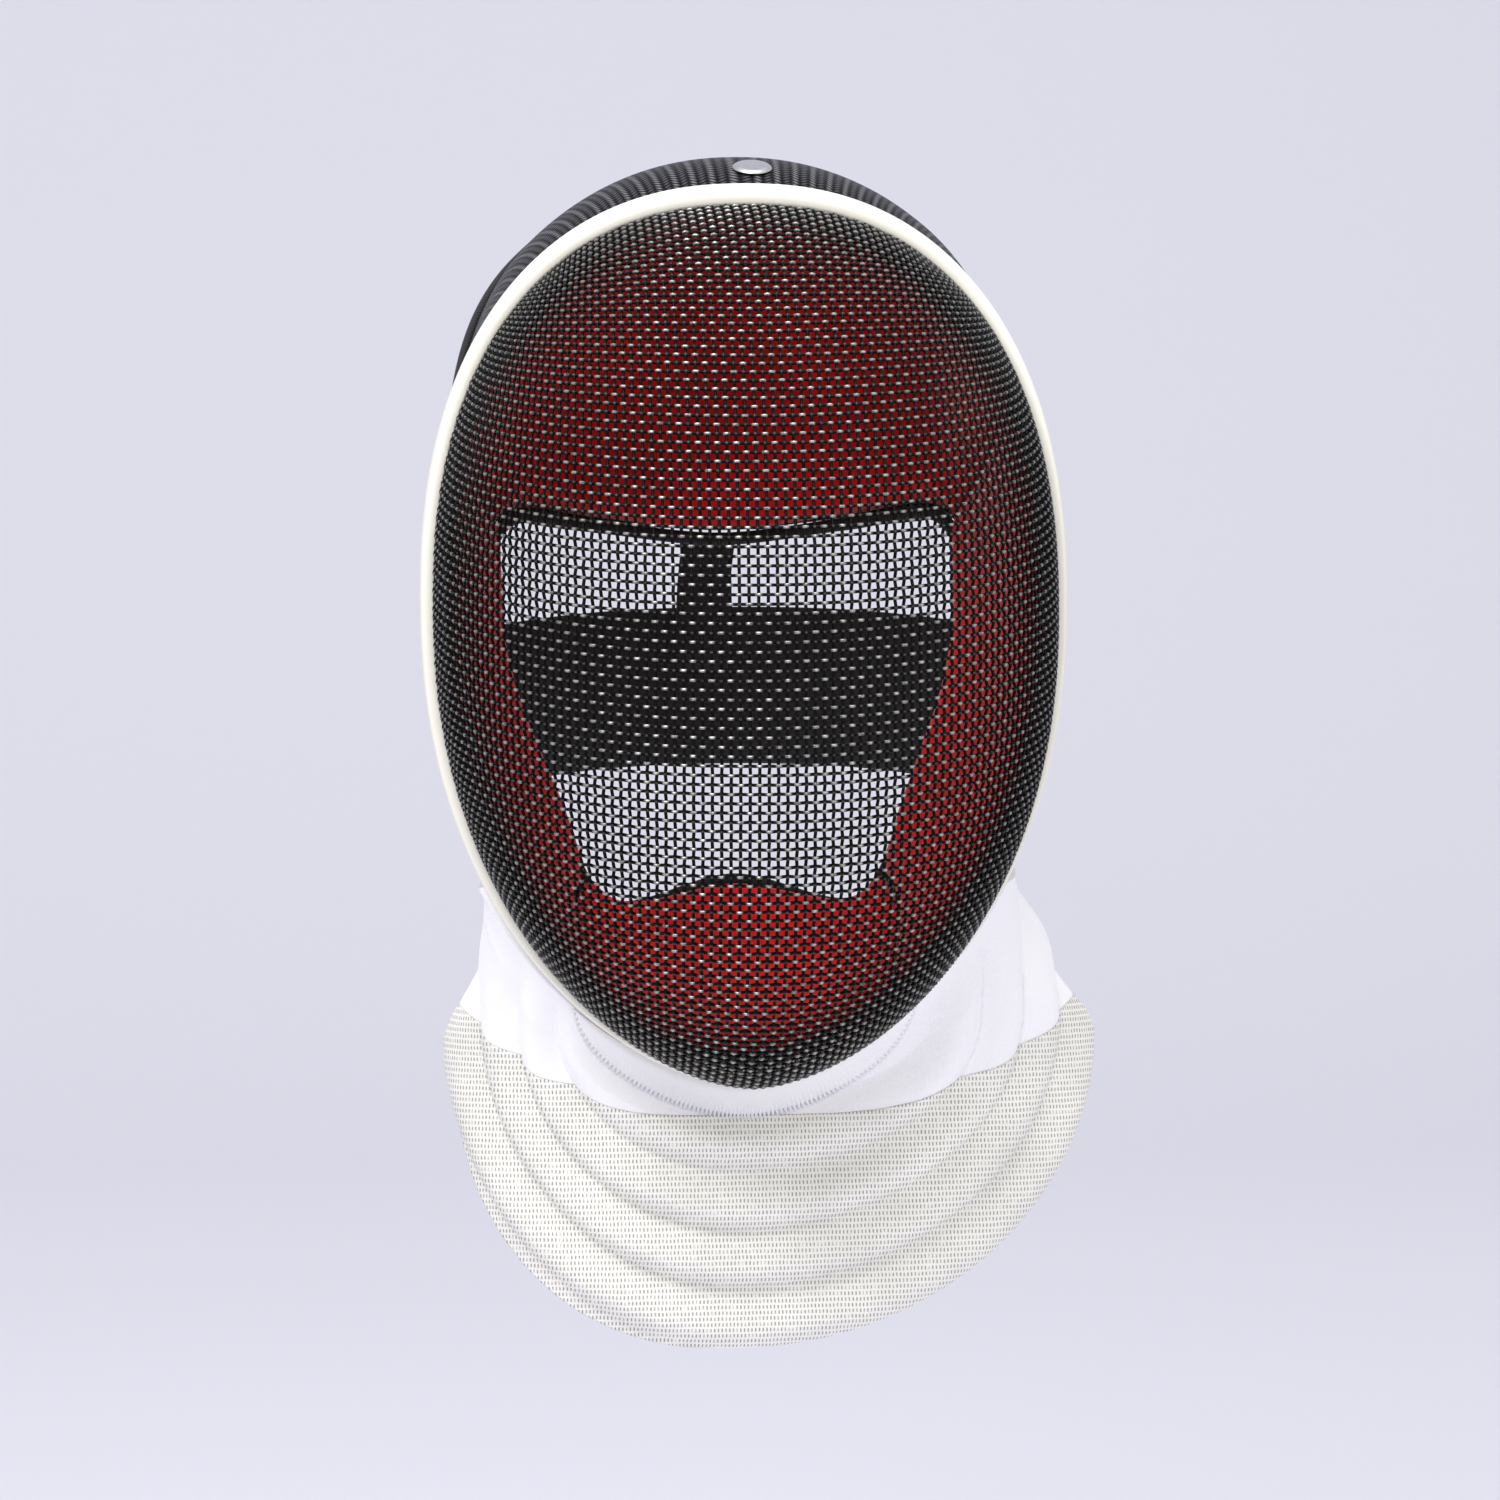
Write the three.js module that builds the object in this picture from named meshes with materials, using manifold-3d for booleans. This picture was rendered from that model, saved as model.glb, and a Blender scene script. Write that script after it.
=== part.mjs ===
// Fencing mask with a woven wire front, padded rear shell, wide back strap and a quilted bib.
// Millimetres, +Z up. The mask faces -Y. The origin is the seat of the head under the crown pad.
import * as THREE from 'three';
import { mergeVertices } from 'three/addons/utils/BufferGeometryUtils.js';
import Module from 'manifold-3d';

const wasm = await Module();
wasm.setup();

// ---------- Driving dimensions ----------
// Shapes below are laid out from the middle of the face rim, at its widest height.
const HEAD_SEAT = { y: 66, z: 132 };
const GAP = 0.4;
const DEGREES = Math.PI / 180;

const RIM = {
  half_width: 107.2, above: 138.8, below: 161.5, top_power: 2.3, chin_power: 2.2, chin_taper: 1.17,
  lean: Math.tan(4 * DEGREES), bow: 5,
};
const TRIM = { depth: 14, top_width: 7.2, side_width: 5.4, chin_width: 4.2, corner: 0.55 };
const DOME = { depth: 112, middle_drop: 14, roundness: 2.35, keel: 0.03, wall: 2 };
const SHELL_WALL = 2.4;
const CHANNELS = [1, 0.68, 0.38, 0];
const BIB = {
  left_width: 96, right_width: 124, middle_width: 106.5, bottom: -265, side_height: -167,
  edge_front: 22, edge_back: 50, edge_power: 0.93, round: 0.78, leg_in_left: 22, leg_in_right: 32,
  bottom_aside: -6, leg_top: -100, rim_end: 124, wall: 3.2, puff: 5.5, belly_front: 4, belly_side: 2, fall: 0.19, level_width: 106, level_drop: 109, level_width_step: 38, level_drop_step: 59.2, level_top: -143,
};
const CLOTH_LINE = { middle: -175.7, rise: 39, power: 2.6 };
const STRAP = { top: -24, height: 57, wall: 2.4 };
const CENTRE_STRAP = { width: 19, wall: 2 };
const BADGE = { radius: 7, top_radius: 5.95, height: 1.4, sides: 24, share: 0.1, angle: 1.5 };
const PIPING = { radius: 1.5, along: 3 / 7, reach: 60 };
const BINDING_RADIUS = 2.3;

// Plan of the back strap, from its middle behind the neck to its end on the shell's side.
// tuck: how much nearer the middle plane the lower edge lies.
const STRAP_PLAN = [
  { x: 0, y: 138, tuck: 0 },
  { x: 42, y: 131, tuck: 1 },
  { x: 74, y: 111, tuck: 3 },
  { x: 90, y: 93, tuck: 5 },
  { x: 98, y: 76, tuck: 7 },
  { x: 103, y: 57, tuck: 9 },
];
const CENTRE_STRAP_DROP = [
  { x: -4, y: 130, z: 2 },
  { x: -5, y: 133, z: -8 },
  { x: -6, y: 134, z: -20 },
  { x: -6, y: 134.2, z: -46 },
];

// Rear edge of the shell and how far the wall bellies out on its way there, from crown to chin.
// rear_*: place of the edge. swell_*: handles of the wall's curve, outwards and backwards.
const SHELL_SECTIONS = [
  { angle: 0, rear_x: 0, rear_y: 125, rear_z: 6, front_out: 22, front_back: 46, rear_out: 127, rear_back: 26 },
  { angle: 30, rear_x: 45, rear_y: 120, rear_z: 11, front_out: 12.5, front_back: 44, rear_out: 88, rear_back: 26 },
  { angle: 60, rear_x: 78, rear_y: 106, rear_z: 15, front_out: -1, front_back: 38, rear_out: 23, rear_back: 6 },
  { angle: 85, rear_x: 86, rear_y: 94, rear_z: -6, front_out: -1, front_back: 32, rear_out: 11, rear_back: -22 },
  { angle: 105, rear_x: 82, rear_y: 84, rear_z: -38, front_out: 0, front_back: 30, rear_out: 14, rear_back: -24 },
  { angle: 130, rear_x: 66, rear_y: 68, rear_z: -78, front_out: -1, front_back: 24, rear_out: 16, rear_back: -24 },
  { angle: 155, rear_x: 45, rear_y: 52, rear_z: -116, front_out: -2, front_back: 20, rear_out: 18, rear_back: -20 },
  { angle: 180, rear_x: 0, rear_y: 58, rear_z: -110, front_out: -3, front_back: 22, rear_out: 26, rear_back: -12 },
];

// Pads lie inside the shell: from one angle to another, from a share of the wall's length to another.
const PADS = [
  { name: 'crown_pad', from: -60, to: 60, thickness: 11 },
  { name: 'side_pad_right', from: 67.5, to: 142.5, thickness: 7 },
  { name: 'side_pad_left', from: -142.5, to: -67.5, thickness: 7 },
  { name: 'chin_pad', from: 150, to: 210, thickness: 9 },
];
const PAD_CLEARANCE = 1;
const PAD_END = 0.98;

// How finely the round walls are divided: degrees about the rim, and rows from front to back.
const ANGLE_STEP = 7.5;
const ROUND_STEPS = 360 / ANGLE_STEP;
const SHELL_ROWS = 8;

// ---------- Colours ----------
const FINISH = {
  wire: { color: 0x17181a, roughness: 0.35, metalness: 0.7 },
  ivory: { color: 0xf4f2e8, roughness: 0.42, metalness: 0 },
  carbon: { color: 0x1b1c1f, roughness: 0.3, metalness: 0.1 },
  black: { color: 0x101011, roughness: 0.6, metalness: 0 },
  red: { color: 0xb01217, roughness: 0.85, metalness: 0 },
  white: { color: 0xf2f0f6, roughness: 0.8, metalness: 0 },
  silver_cloth: { color: 0xdedbd0, roughness: 0.6, metalness: 0.2 },
  silver: { color: 0xb9bcc2, roughness: 0.25, metalness: 1 },
};

// ---------- Small tools ----------
const mix = (a, b, share) => a + (b - a) * share;
const signedPower = (value, power) => Math.sign(value) * Math.abs(value) ** power;

// A smooth curve through a column of a table. Both of its ends lie on the mask's middle plane.
function curveThrough(rows, column, place, at) {
  const last = rows.length - 1;
  let index = rows.findIndex((row) => row[place] > at) - 1;
  if (index < 0) index = at <= rows[0][place] ? 0 : last - 1;
  const share = (at - rows[index][place]) / (rows[index + 1][place] - rows[index][place]);
  const value = (i) => rows[i][column];
  const mirrored = (end, next) => (value(end) === 0 ? -value(next) : value(next));
  const before = index === 0 ? mirrored(0, 1) : value(index - 1);
  const after = index === last - 1 ? mirrored(last, last - 1) : value(index + 2);
  const [p, q] = [value(index), value(index + 1)];
  const cubic = -before + 3 * p - 3 * q + after;
  const square = 2 * before - 5 * p + 4 * q - after;
  return p + 0.5 * share * (q - before + share * (square + share * cubic));
}

function addMesh(name, geometry, finish) {
  const mesh = new THREE.Mesh(geometry, new THREE.MeshStandardMaterial(FINISH[finish]));
  mesh.name = name;
  mask.add(mesh);
}

// Closes two facing grids of points into one solid. Columns may close on themselves.
function solidBetween(outer, inner, closed) {
  const rows = outer.length;
  const columns = outer[0].length;
  const points = [...outer.flat(), ...inner.flat()];
  const at = (side, row, column) => side * rows * columns + row * columns + (column % columns);
  const faces = [];
  const quad = (a, b, c, d) => faces.push(a, b, c, a, c, d);
  const steps = closed ? columns : columns - 1;
  for (let c = 0; c < steps; c += 1) {
    for (let r = 0; r < rows - 1; r += 1) {
      quad(at(0, r, c), at(0, r, c + 1), at(0, r + 1, c + 1), at(0, r + 1, c));
      quad(at(1, r, c), at(1, r + 1, c), at(1, r + 1, c + 1), at(1, r, c + 1));
    }
    quad(at(0, 0, c + 1), at(0, 0, c), at(1, 0, c), at(1, 0, c + 1));
    quad(at(0, rows - 1, c), at(0, rows - 1, c + 1), at(1, rows - 1, c + 1), at(1, rows - 1, c));
  }
  for (let r = 0; r < rows - 1 && !closed; r += 1) {
    quad(at(0, r, 0), at(0, r + 1, 0), at(1, r + 1, 0), at(1, r, 0));
    const end = columns - 1;
    quad(at(0, r + 1, end), at(0, r, end), at(1, r, end), at(1, r + 1, end));
  }
  return outwardGeometry(points, faces);
}

function outwardGeometry(points, faces) {
  let volume = 0;
  for (let i = 0; i < faces.length; i += 3) {
    const [a, b, c] = [points[faces[i]], points[faces[i + 1]], points[faces[i + 2]]];
    volume += a.dot(b.clone().cross(c));
  }
  const order = volume > 0 ? faces : faces.map((_, i) => faces[i - (i % 3) + [0, 2, 1][i % 3]]);
  const geometry = new THREE.BufferGeometry();
  geometry.setAttribute('position', new THREE.Float32BufferAttribute(points.flatMap((p) => p.toArray()), 3));
  geometry.setIndex(order);
  geometry.computeVertexNormals();
  return geometry;
}

function toManifold(geometry) {
  const bare = geometry.clone();
  bare.deleteAttribute('normal');
  bare.deleteAttribute('uv');
  const merged = mergeVertices(bare, 1e-4);
  const vertProperties = new Float32Array(merged.attributes.position.array);
  const triVerts = new Uint32Array(merged.index.array);
  return new wasm.Manifold(new wasm.Mesh({ numProp: 3, vertProperties, triVerts }));
}

function fromManifold(solid) {
  const mesh = solid.getMesh();
  const geometry = new THREE.BufferGeometry();
  geometry.setAttribute('position', new THREE.Float32BufferAttribute(mesh.vertProperties, 3));
  geometry.setIndex([...mesh.triVerts]);
  return geometry;
}

// A round tube along an open or closed run of points, with flat ends.
function tubeAlong(points, radius, sides, closed) {
  const rings = points.map((point, i) => {
    const last = points.length - 1;
    const next = points[closed ? (i + 1) % points.length : Math.min(last, i + 1)];
    const previous = points[closed ? (i + last) % points.length : Math.max(0, i - 1)];
    const along = next.clone().sub(previous).normalize();
    const side = new THREE.Vector3(0, 1, 0).cross(along).normalize();
    const up = along.clone().cross(side);
    return Array.from({ length: sides }, (_, k) => {
      const turn = (k / sides) * 2 * Math.PI;
      const reach = side.clone().multiplyScalar(Math.cos(turn) * radius);
      return point.clone().add(reach).addScaledVector(up, Math.sin(turn) * radius);
    });
  });
  return closed ? ringSolid(rings) : cappedSolid(rings);
}

function ringSolid(rings) {
  const sides = rings[0].length;
  const faces = [];
  rings.forEach((_, i) => {
    const next = (i + 1) % rings.length;
    for (let k = 0; k < sides; k += 1) {
      const [a, b] = [i * sides + k, i * sides + ((k + 1) % sides)];
      const [c, d] = [next * sides + ((k + 1) % sides), next * sides + k];
      faces.push(a, b, c, a, c, d);
    }
  });
  return outwardGeometry(rings.flat(), faces);
}

function cappedSolid(rings) {
  const sides = rings[0].length;
  const faces = [];
  for (let i = 0; i < rings.length - 1; i += 1) {
    for (let k = 0; k < sides; k += 1) {
      const [a, b] = [i * sides + k, i * sides + ((k + 1) % sides)];
      faces.push(a, b, b + sides, a, b + sides, a + sides);
    }
  }
  const end = (rings.length - 1) * sides;
  for (let k = 1; k < sides - 1; k += 1) {
    faces.push(0, k + 1, k, end, end + k, end + k + 1);
  }
  return outwardGeometry(rings.flat(), faces);
}

// ---------- Face rim and trim ----------
// The egg-shaped rim. Angle 0 is the crown and 180 the chin; a positive angle goes to +X.
function rimPoint(angle, grow = 0) {
  const sine = Math.sin(angle * DEGREES);
  const cosine = Math.cos(angle * DEGREES);
  const above = cosine >= 0;
  const height = (above ? RIM.above : RIM.below) + grow;
  const x = (RIM.half_width + grow) * signedPower(sine, above ? 2 / RIM.top_power : RIM.chin_taper);
  const z = height * signedPower(cosine, above ? 2 / RIM.top_power : 2 / RIM.chin_power);
  const y = RIM.lean * z + RIM.bow * sine * sine;
  return new THREE.Vector3(x, y, z);
}

function rimOutward(angle) {
  const along = rimPoint(angle + 0.5).sub(rimPoint(angle - 0.5));
  return new THREE.Vector3(-along.z, 0, along.x).normalize();
}

function trimWidth(angle) {
  const cosine = Math.cos(angle * DEGREES);
  const end = cosine > 0 ? TRIM.top_width : TRIM.chin_width;
  return mix(TRIM.side_width, end, cosine ** 4);
}

function faceTrim() {
  const corners = 8;
  const rings = Array.from({ length: ROUND_STEPS }, (_, i) => {
    const angle = i * ANGLE_STEP;
    const middle = rimPoint(angle);
    const outward = rimOutward(angle);
    return Array.from({ length: corners }, (_, k) => {
      const turn = (k / corners) * 2 * Math.PI;
      const across = signedPower(Math.cos(turn), TRIM.corner) * (trimWidth(angle) / 2);
      const along = signedPower(Math.sin(turn), TRIM.corner) * (TRIM.depth / 2);
      return middle.clone().addScaledVector(outward, across).add(new THREE.Vector3(0, along, 0));
    });
  });
  return ringSolid(rings);
}

// ---------- Woven front ----------
// Share 0 is the middle of the dome and share 1 its edge inside the trim.
function domePoint(angle, share, lift) {
  const edge = rimPoint(angle, -trimWidth(angle) / 2 - GAP);
  const rise = (1 - share ** DOME.roundness) ** (1 / DOME.roundness);
  const keel = 1 - DOME.keel * Math.abs(Math.sin(angle * DEGREES)) * share * (1 - share) * 4;
  const reach = 1 + (lift / RIM.half_width) * share;
  return new THREE.Vector3(
    edge.x * share * reach,
    edge.y * share - (DOME.depth + lift) * rise * keel,
    mix(-DOME.middle_drop, edge.z, share * reach),
  );
}

function domeGrid(steps, rings, lift) {
  return Array.from({ length: rings }, (_, r) => {
    const share = Math.sin(((r + 1) / rings) * (Math.PI / 2));
    return Array.from({ length: steps }, (_, c) => domePoint((c / steps) * 360, share, lift));
  });
}

function wovenFront() {
  const steps = ROUND_STEPS;
  const rings = 8;
  const outer = domeGrid(steps, rings, 0);
  const inner = domeGrid(steps, rings, -DOME.wall);
  const points = [...outer.flat(), ...inner.flat(), domePoint(0, 0, 0), domePoint(0, 0, -DOME.wall)];
  const size = steps * rings;
  const faces = [];
  for (let c = 0; c < steps; c += 1) {
    const d = (c + 1) % steps;
    faces.push(2 * size, d, c, 2 * size + 1, size + c, size + d);
    for (let r = 0; r < rings - 1; r += 1) {
      const [a, b] = [r * steps + c, r * steps + d];
      faces.push(a, b, b + steps, a, b + steps, a + steps);
      faces.push(size + a, size + b + steps, size + b, size + a, size + a + steps, size + b + steps);
    }
    const [e, f] = [(rings - 1) * steps + c, (rings - 1) * steps + d];
    faces.push(e, f, size + f, e, size + f, size + e);
  }
  return outwardGeometry(points, faces);
}

// ---------- Rear shell ----------
// Angle as on the rim. Share 0 is behind the trim and share 1 the rear edge.
function shellMiddle(angle, share) {
  const turned = ((angle + 540) % 360) - 180;
  const at = Math.abs(turned);
  const side = Math.sign(turned) || 1;
  const row = (column) => curveThrough(SHELL_SECTIONS, column, 'angle', at);
  const start = rimPoint(turned).add(new THREE.Vector3(0, TRIM.depth / 2 + 2 * GAP, 0));
  const outward = rimOutward(turned);
  const end = new THREE.Vector3(side * Math.max(0, row('rear_x')), row('rear_y'), row('rear_z'));
  const first = start.clone().addScaledVector(outward, row('front_out'));
  first.y += row('front_back');
  const second = end.clone().addScaledVector(outward, row('rear_out'));
  second.y += row('rear_back');
  return new THREE.CubicBezierCurve3(start, first, second, end).getPoint(share);
}

function shellNormal(angle, share) {
  const low = Math.max(0, share - 0.01);
  const high = Math.min(1, share + 0.01);
  const round = shellMiddle(angle + 0.5, share).sub(shellMiddle(angle - 0.5, share));
  const back = shellMiddle(angle, high).sub(shellMiddle(angle, low));
  return round.cross(back).normalize();
}

function shellPoint(angle, share, out) {
  return shellMiddle(angle, share).addScaledVector(shellNormal(angle, share), out);
}

function rearShell() {
  const grid = (out) => Array.from({ length: SHELL_ROWS }, (_, r) => (
    Array.from({ length: ROUND_STEPS }, (_, c) => shellPoint(c * ANGLE_STEP, r / (SHELL_ROWS - 1), out))
  ));
  return solidBetween(grid(SHELL_WALL / 2), grid(-SHELL_WALL / 2), true);
}

function rearBinding() {
  const points = Array.from({ length: ROUND_STEPS }, (_, i) => {
    const angle = i * ANGLE_STEP;
    const edge = shellMiddle(angle, 1);
    const onward = edge.clone().sub(shellMiddle(angle, 1 - 1 / (SHELL_ROWS - 1))).normalize();
    return edge.addScaledVector(onward, BINDING_RADIUS + 4 * GAP);
  });
  return tubeAlong(points, BINDING_RADIUS, 6, true);
}

function crownPiping() {
  const steps = (2 * PIPING.reach) / ANGLE_STEP;
  const lift = SHELL_WALL / 2 + PIPING.radius + GAP;
  const points = Array.from({ length: steps + 1 }, (_, i) => (
    shellPoint(i * ANGLE_STEP - PIPING.reach, PIPING.along, lift)
  ));
  return tubeAlong(points, PIPING.radius, 6, false);
}

function crownBadge() {
  const normal = shellNormal(BADGE.angle, BADGE.share);
  const base = shellPoint(BADGE.angle, BADGE.share, SHELL_WALL / 2 + GAP);
  const plate = new THREE.CylinderGeometry(BADGE.top_radius, BADGE.radius, BADGE.height, BADGE.sides);
  plate.applyQuaternion(new THREE.Quaternion().setFromUnitVectors(new THREE.Vector3(0, 1, 0), normal));
  const middle = base.addScaledVector(normal, BADGE.height / 2);
  return plate.translate(middle.x, middle.y, middle.z);
}

// ---------- Pads ----------
function padRound(share) {
  return Math.sqrt(Math.max(0, 1 - (2 * share - 1) ** 6));
}

function innerPad(pad) {
  const columns = (pad.to - pad.from) / ANGLE_STEP + 1;
  const rows = SHELL_ROWS - 1;
  const skin = SHELL_WALL / 2 + PAD_CLEARANCE;
  const point = (r, c, inward) => {
    const across = c / (columns - 1);
    const down = r / (rows - 1);
    const fullness = 0.2 + 0.8 * Math.min(padRound(across), padRound(down));
    const out = -skin - (inward ? pad.thickness * fullness : 0);
    return shellPoint(mix(pad.from, pad.to, across), Math.min(PAD_END, (r + 1) / rows), out);
  };
  const grid = (inward) => Array.from({ length: rows }, (_, r) => (
    Array.from({ length: columns }, (_, c) => point(r, c, inward))
  ));
  return solidBetween(grid(false), grid(true), false);
}

// ---------- Straps ----------
function strapEdge(z, tucked) {
  const point = (side) => ({ x, y, tuck }) => new THREE.Vector3(side * (x - tucked * tuck), y, z);
  const mirror = STRAP_PLAN.slice(1).map(point(-1)).reverse();
  return new THREE.CatmullRomCurve3([...mirror, ...STRAP_PLAN.map(point(1))], false, 'centripetal');
}

function backStrap() {
  const steps = 30;
  const edges = [strapEdge(STRAP.top, 0), strapEdge(STRAP.top - STRAP.height, 1)];
  const band = (lift) => edges.map((edge) => Array.from({ length: steps + 1 }, (_, i) => {
    const along = edge.getTangent(i / steps);
    return edge.getPoint(i / steps).addScaledVector(new THREE.Vector3(-along.y, along.x, 0), lift);
  }));
  return solidBetween(band(STRAP.wall / 2), band(-STRAP.wall / 2), false);
}

// Hangs from the crown pad's rear edge to the back strap's inner face.
function centreStrap() {
  const side = (offset) => CENTRE_STRAP_DROP.map(({ x, y, z }) => [
    new THREE.Vector3(x - CENTRE_STRAP.width / 2, y + offset, z),
    new THREE.Vector3(x + CENTRE_STRAP.width / 2, y + offset, z),
  ]);
  return solidBetween(side(CENTRE_STRAP.wall / 2), side(-CENTRE_STRAP.wall / 2), false);
}

// ---------- Bib ----------
const bibWidth = (x) => (x < 0 ? BIB.left_width : BIB.right_width);

// The free edge, from -1 at the left end through 0 at the bottom to 1 at the right end.
function bibEdge(place) {
  const at = Math.abs(place);
  const width = bibWidth(place);
  if (at <= BIB.round) {
    const turn = (at / BIB.round) * (Math.PI / 2);
    const x = Math.sign(place) * width * Math.sin(turn) ** BIB.edge_power + BIB.bottom_aside * Math.cos(turn);
    const z = BIB.side_height + (BIB.bottom - BIB.side_height) * Math.cos(turn) ** BIB.edge_power;
    return new THREE.Vector3(x, BIB.edge_front + BIB.edge_back * (1 - Math.cos(turn)), z);
  }
  const share = (at - BIB.round) / (1 - BIB.round);
  const top = width - (place < 0 ? BIB.leg_in_left : BIB.leg_in_right) * share;
  const y = BIB.edge_front + BIB.edge_back;
  return new THREE.Vector3(Math.sign(place) * top, y, mix(BIB.side_height, BIB.leg_top, share));
}

// The sewn edge, behind the trim.
function bibRoot(place) {
  const angle = 180 - place * (180 - BIB.rim_end);
  const grow = trimWidth(angle) / 2 + 1;
  const point = rimPoint(angle).addScaledVector(rimOutward(angle), grow);
  point.y += TRIM.depth / 2 + GAP + 0.6;
  return point;
}

// Which channel a place on the bib belongs to: 0 at the free edge, 1 at the innermost seam.
function channelLevel(point) {
  const x = Math.abs(point.x) * (BIB.middle_width / bibWidth(point.x));
  const drop = BIB.level_top - (point.z + BIB.fall * point.y);
  let low = -0.3;
  let high = 1.7;
  for (let step = 0; step < 30; step += 1) {
    const level = (low + high) / 2;
    const width = BIB.level_width - BIB.level_width_step * level;
    const height = BIB.level_drop - BIB.level_drop_step * level;
    const inside = drop > 0 ? (x / width) ** 2 + (drop / height) ** 2 < 1 : x < width;
    if (inside) low = level;
    else high = level;
  }
  return low;
}

// Each channel swells slowly and drops quickly to the next one out.
function channelPuff(level) {
  if (level > CHANNELS[0]) return 0.35 * Math.min(1, (level - CHANNELS[0]) * 4);
  const outer = CHANNELS.findIndex((seam) => seam < level);
  if (outer < 1) return 0;
  const share = (CHANNELS[outer - 1] - level) / (CHANNELS[outer - 1] - CHANNELS[outer]);
  return Math.sin(Math.PI * share ** 1.4);
}

function bibMiddle(place, share) {
  const root = bibRoot(place);
  const edge = bibEdge(place);
  const point = root.clone().lerp(edge, share);
  const belly = 4 * share * (1 - share);
  point.y -= belly * (1 - place * place) * BIB.belly_front;
  point.x += Math.sign(place) * belly * place * place * BIB.belly_side;
  return point;
}

function bibNormal(place, share) {
  const step = 0.004;
  const round = bibMiddle(Math.min(1, place + step), share).sub(bibMiddle(Math.max(-1, place - step), share));
  const down = bibMiddle(place, Math.min(1, share + step)).sub(bibMiddle(place, Math.max(0, share - step)));
  return down.cross(round).normalize();
}

function bibSolid() {
  const columns = 48;
  const rows = 16;
  const grid = (front) => Array.from({ length: rows }, (_, r) => Array.from({ length: columns + 1 }, (_, c) => {
    const place = -1 + (2 * c) / columns;
    const share = r / (rows - 1);
    const point = bibMiddle(place, share);
    const fade = Math.min(1, share * 6);
    const swell = front ? BIB.puff * fade * channelPuff(channelLevel(point)) : 0;
    const side = front ? 1 : -1;
    return point.addScaledVector(bibNormal(place, share), side * (BIB.wall / 2) + side * swell);
  }));
  return toManifold(solidBetween(grid(true), grid(false), false));
}

// Everything below the top line of the conductive cloth, moved down by a small gap.
function belowClothLine(down) {
  const half = 150;
  const points = 24;
  const outline = new THREE.Shape();
  outline.moveTo(-half, -2 * half);
  outline.lineTo(half, -2 * half);
  for (let i = 0; i <= points; i += 1) {
    const x = half - (2 * half * i) / points;
    const spread = Math.min(1.2, Math.abs(x) / bibWidth(x));
    outline.lineTo(x, CLOTH_LINE.middle + CLOTH_LINE.rise * spread ** CLOTH_LINE.power - down);
  }
  const prism = new THREE.ExtrudeGeometry(outline, { depth: 2 * half, bevelEnabled: false });
  prism.rotateX(Math.PI / 2);
  prism.translate(0, half + 50, 0);
  const place = prism.attributes.position;
  for (let i = 0; i < place.count; i += 1) {
    place.setZ(i, place.getZ(i) - BIB.fall * place.getY(i));
  }
  return toManifold(prism);
}

// ---------- Assembly ----------
const mask = new THREE.Group();
mask.position.set(0, -HEAD_SEAT.y, -HEAD_SEAT.z);

addMesh('woven_front', wovenFront(), 'wire');
addMesh('face_trim', faceTrim(), 'ivory');
addMesh('rear_shell', rearShell(), 'carbon');
addMesh('rear_binding', rearBinding(), 'black');
addMesh('crown_piping', crownPiping(), 'black');
addMesh('crown_badge', crownBadge(), 'silver');
PADS.forEach((pad) => addMesh(pad.name, innerPad(pad), 'red'));
addMesh('back_strap', backStrap(), 'black');
addMesh('centre_strap', centreStrap(), 'black');

const bib = bibSolid();
addMesh('bib_upper', fromManifold(bib.subtract(belowClothLine(0))), 'white');
addMesh('bib_conductive', fromManifold(bib.intersect(belowClothLine(GAP))), 'silver_cloth');

export default mask;
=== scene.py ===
"""Looks of a fencing mask: woven wire face, moulded trim, padded shell, straps and quilted bib."""

import math

import bmesh
import bpy
import numpy as np
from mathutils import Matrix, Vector
from mathutils.bvhtree import BVHTree


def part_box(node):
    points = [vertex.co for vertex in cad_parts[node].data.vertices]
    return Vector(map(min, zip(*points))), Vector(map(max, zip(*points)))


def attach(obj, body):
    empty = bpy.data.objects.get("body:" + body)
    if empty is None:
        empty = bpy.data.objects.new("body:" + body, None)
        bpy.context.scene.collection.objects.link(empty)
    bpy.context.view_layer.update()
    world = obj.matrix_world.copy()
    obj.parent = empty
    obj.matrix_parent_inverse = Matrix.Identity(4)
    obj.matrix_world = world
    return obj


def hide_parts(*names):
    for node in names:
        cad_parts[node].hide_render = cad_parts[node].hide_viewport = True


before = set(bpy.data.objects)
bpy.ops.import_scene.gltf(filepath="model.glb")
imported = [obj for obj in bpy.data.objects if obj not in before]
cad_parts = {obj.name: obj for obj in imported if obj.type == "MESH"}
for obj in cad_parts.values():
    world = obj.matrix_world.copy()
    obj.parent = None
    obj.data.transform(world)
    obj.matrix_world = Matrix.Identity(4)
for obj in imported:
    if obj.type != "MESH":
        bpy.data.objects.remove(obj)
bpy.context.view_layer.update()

bl_info = {
    "name": "Fencing mask",
    "version": (1, 0, 0),
    "blender": (4, 5, 0),
    "location": "View3D > Sidebar > Fencing mask",
    "description": "Makes the finished pieces of a fencing mask round its frame",
    "category": "Object",
}

MM = 0.001
BODY = "root"


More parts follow.
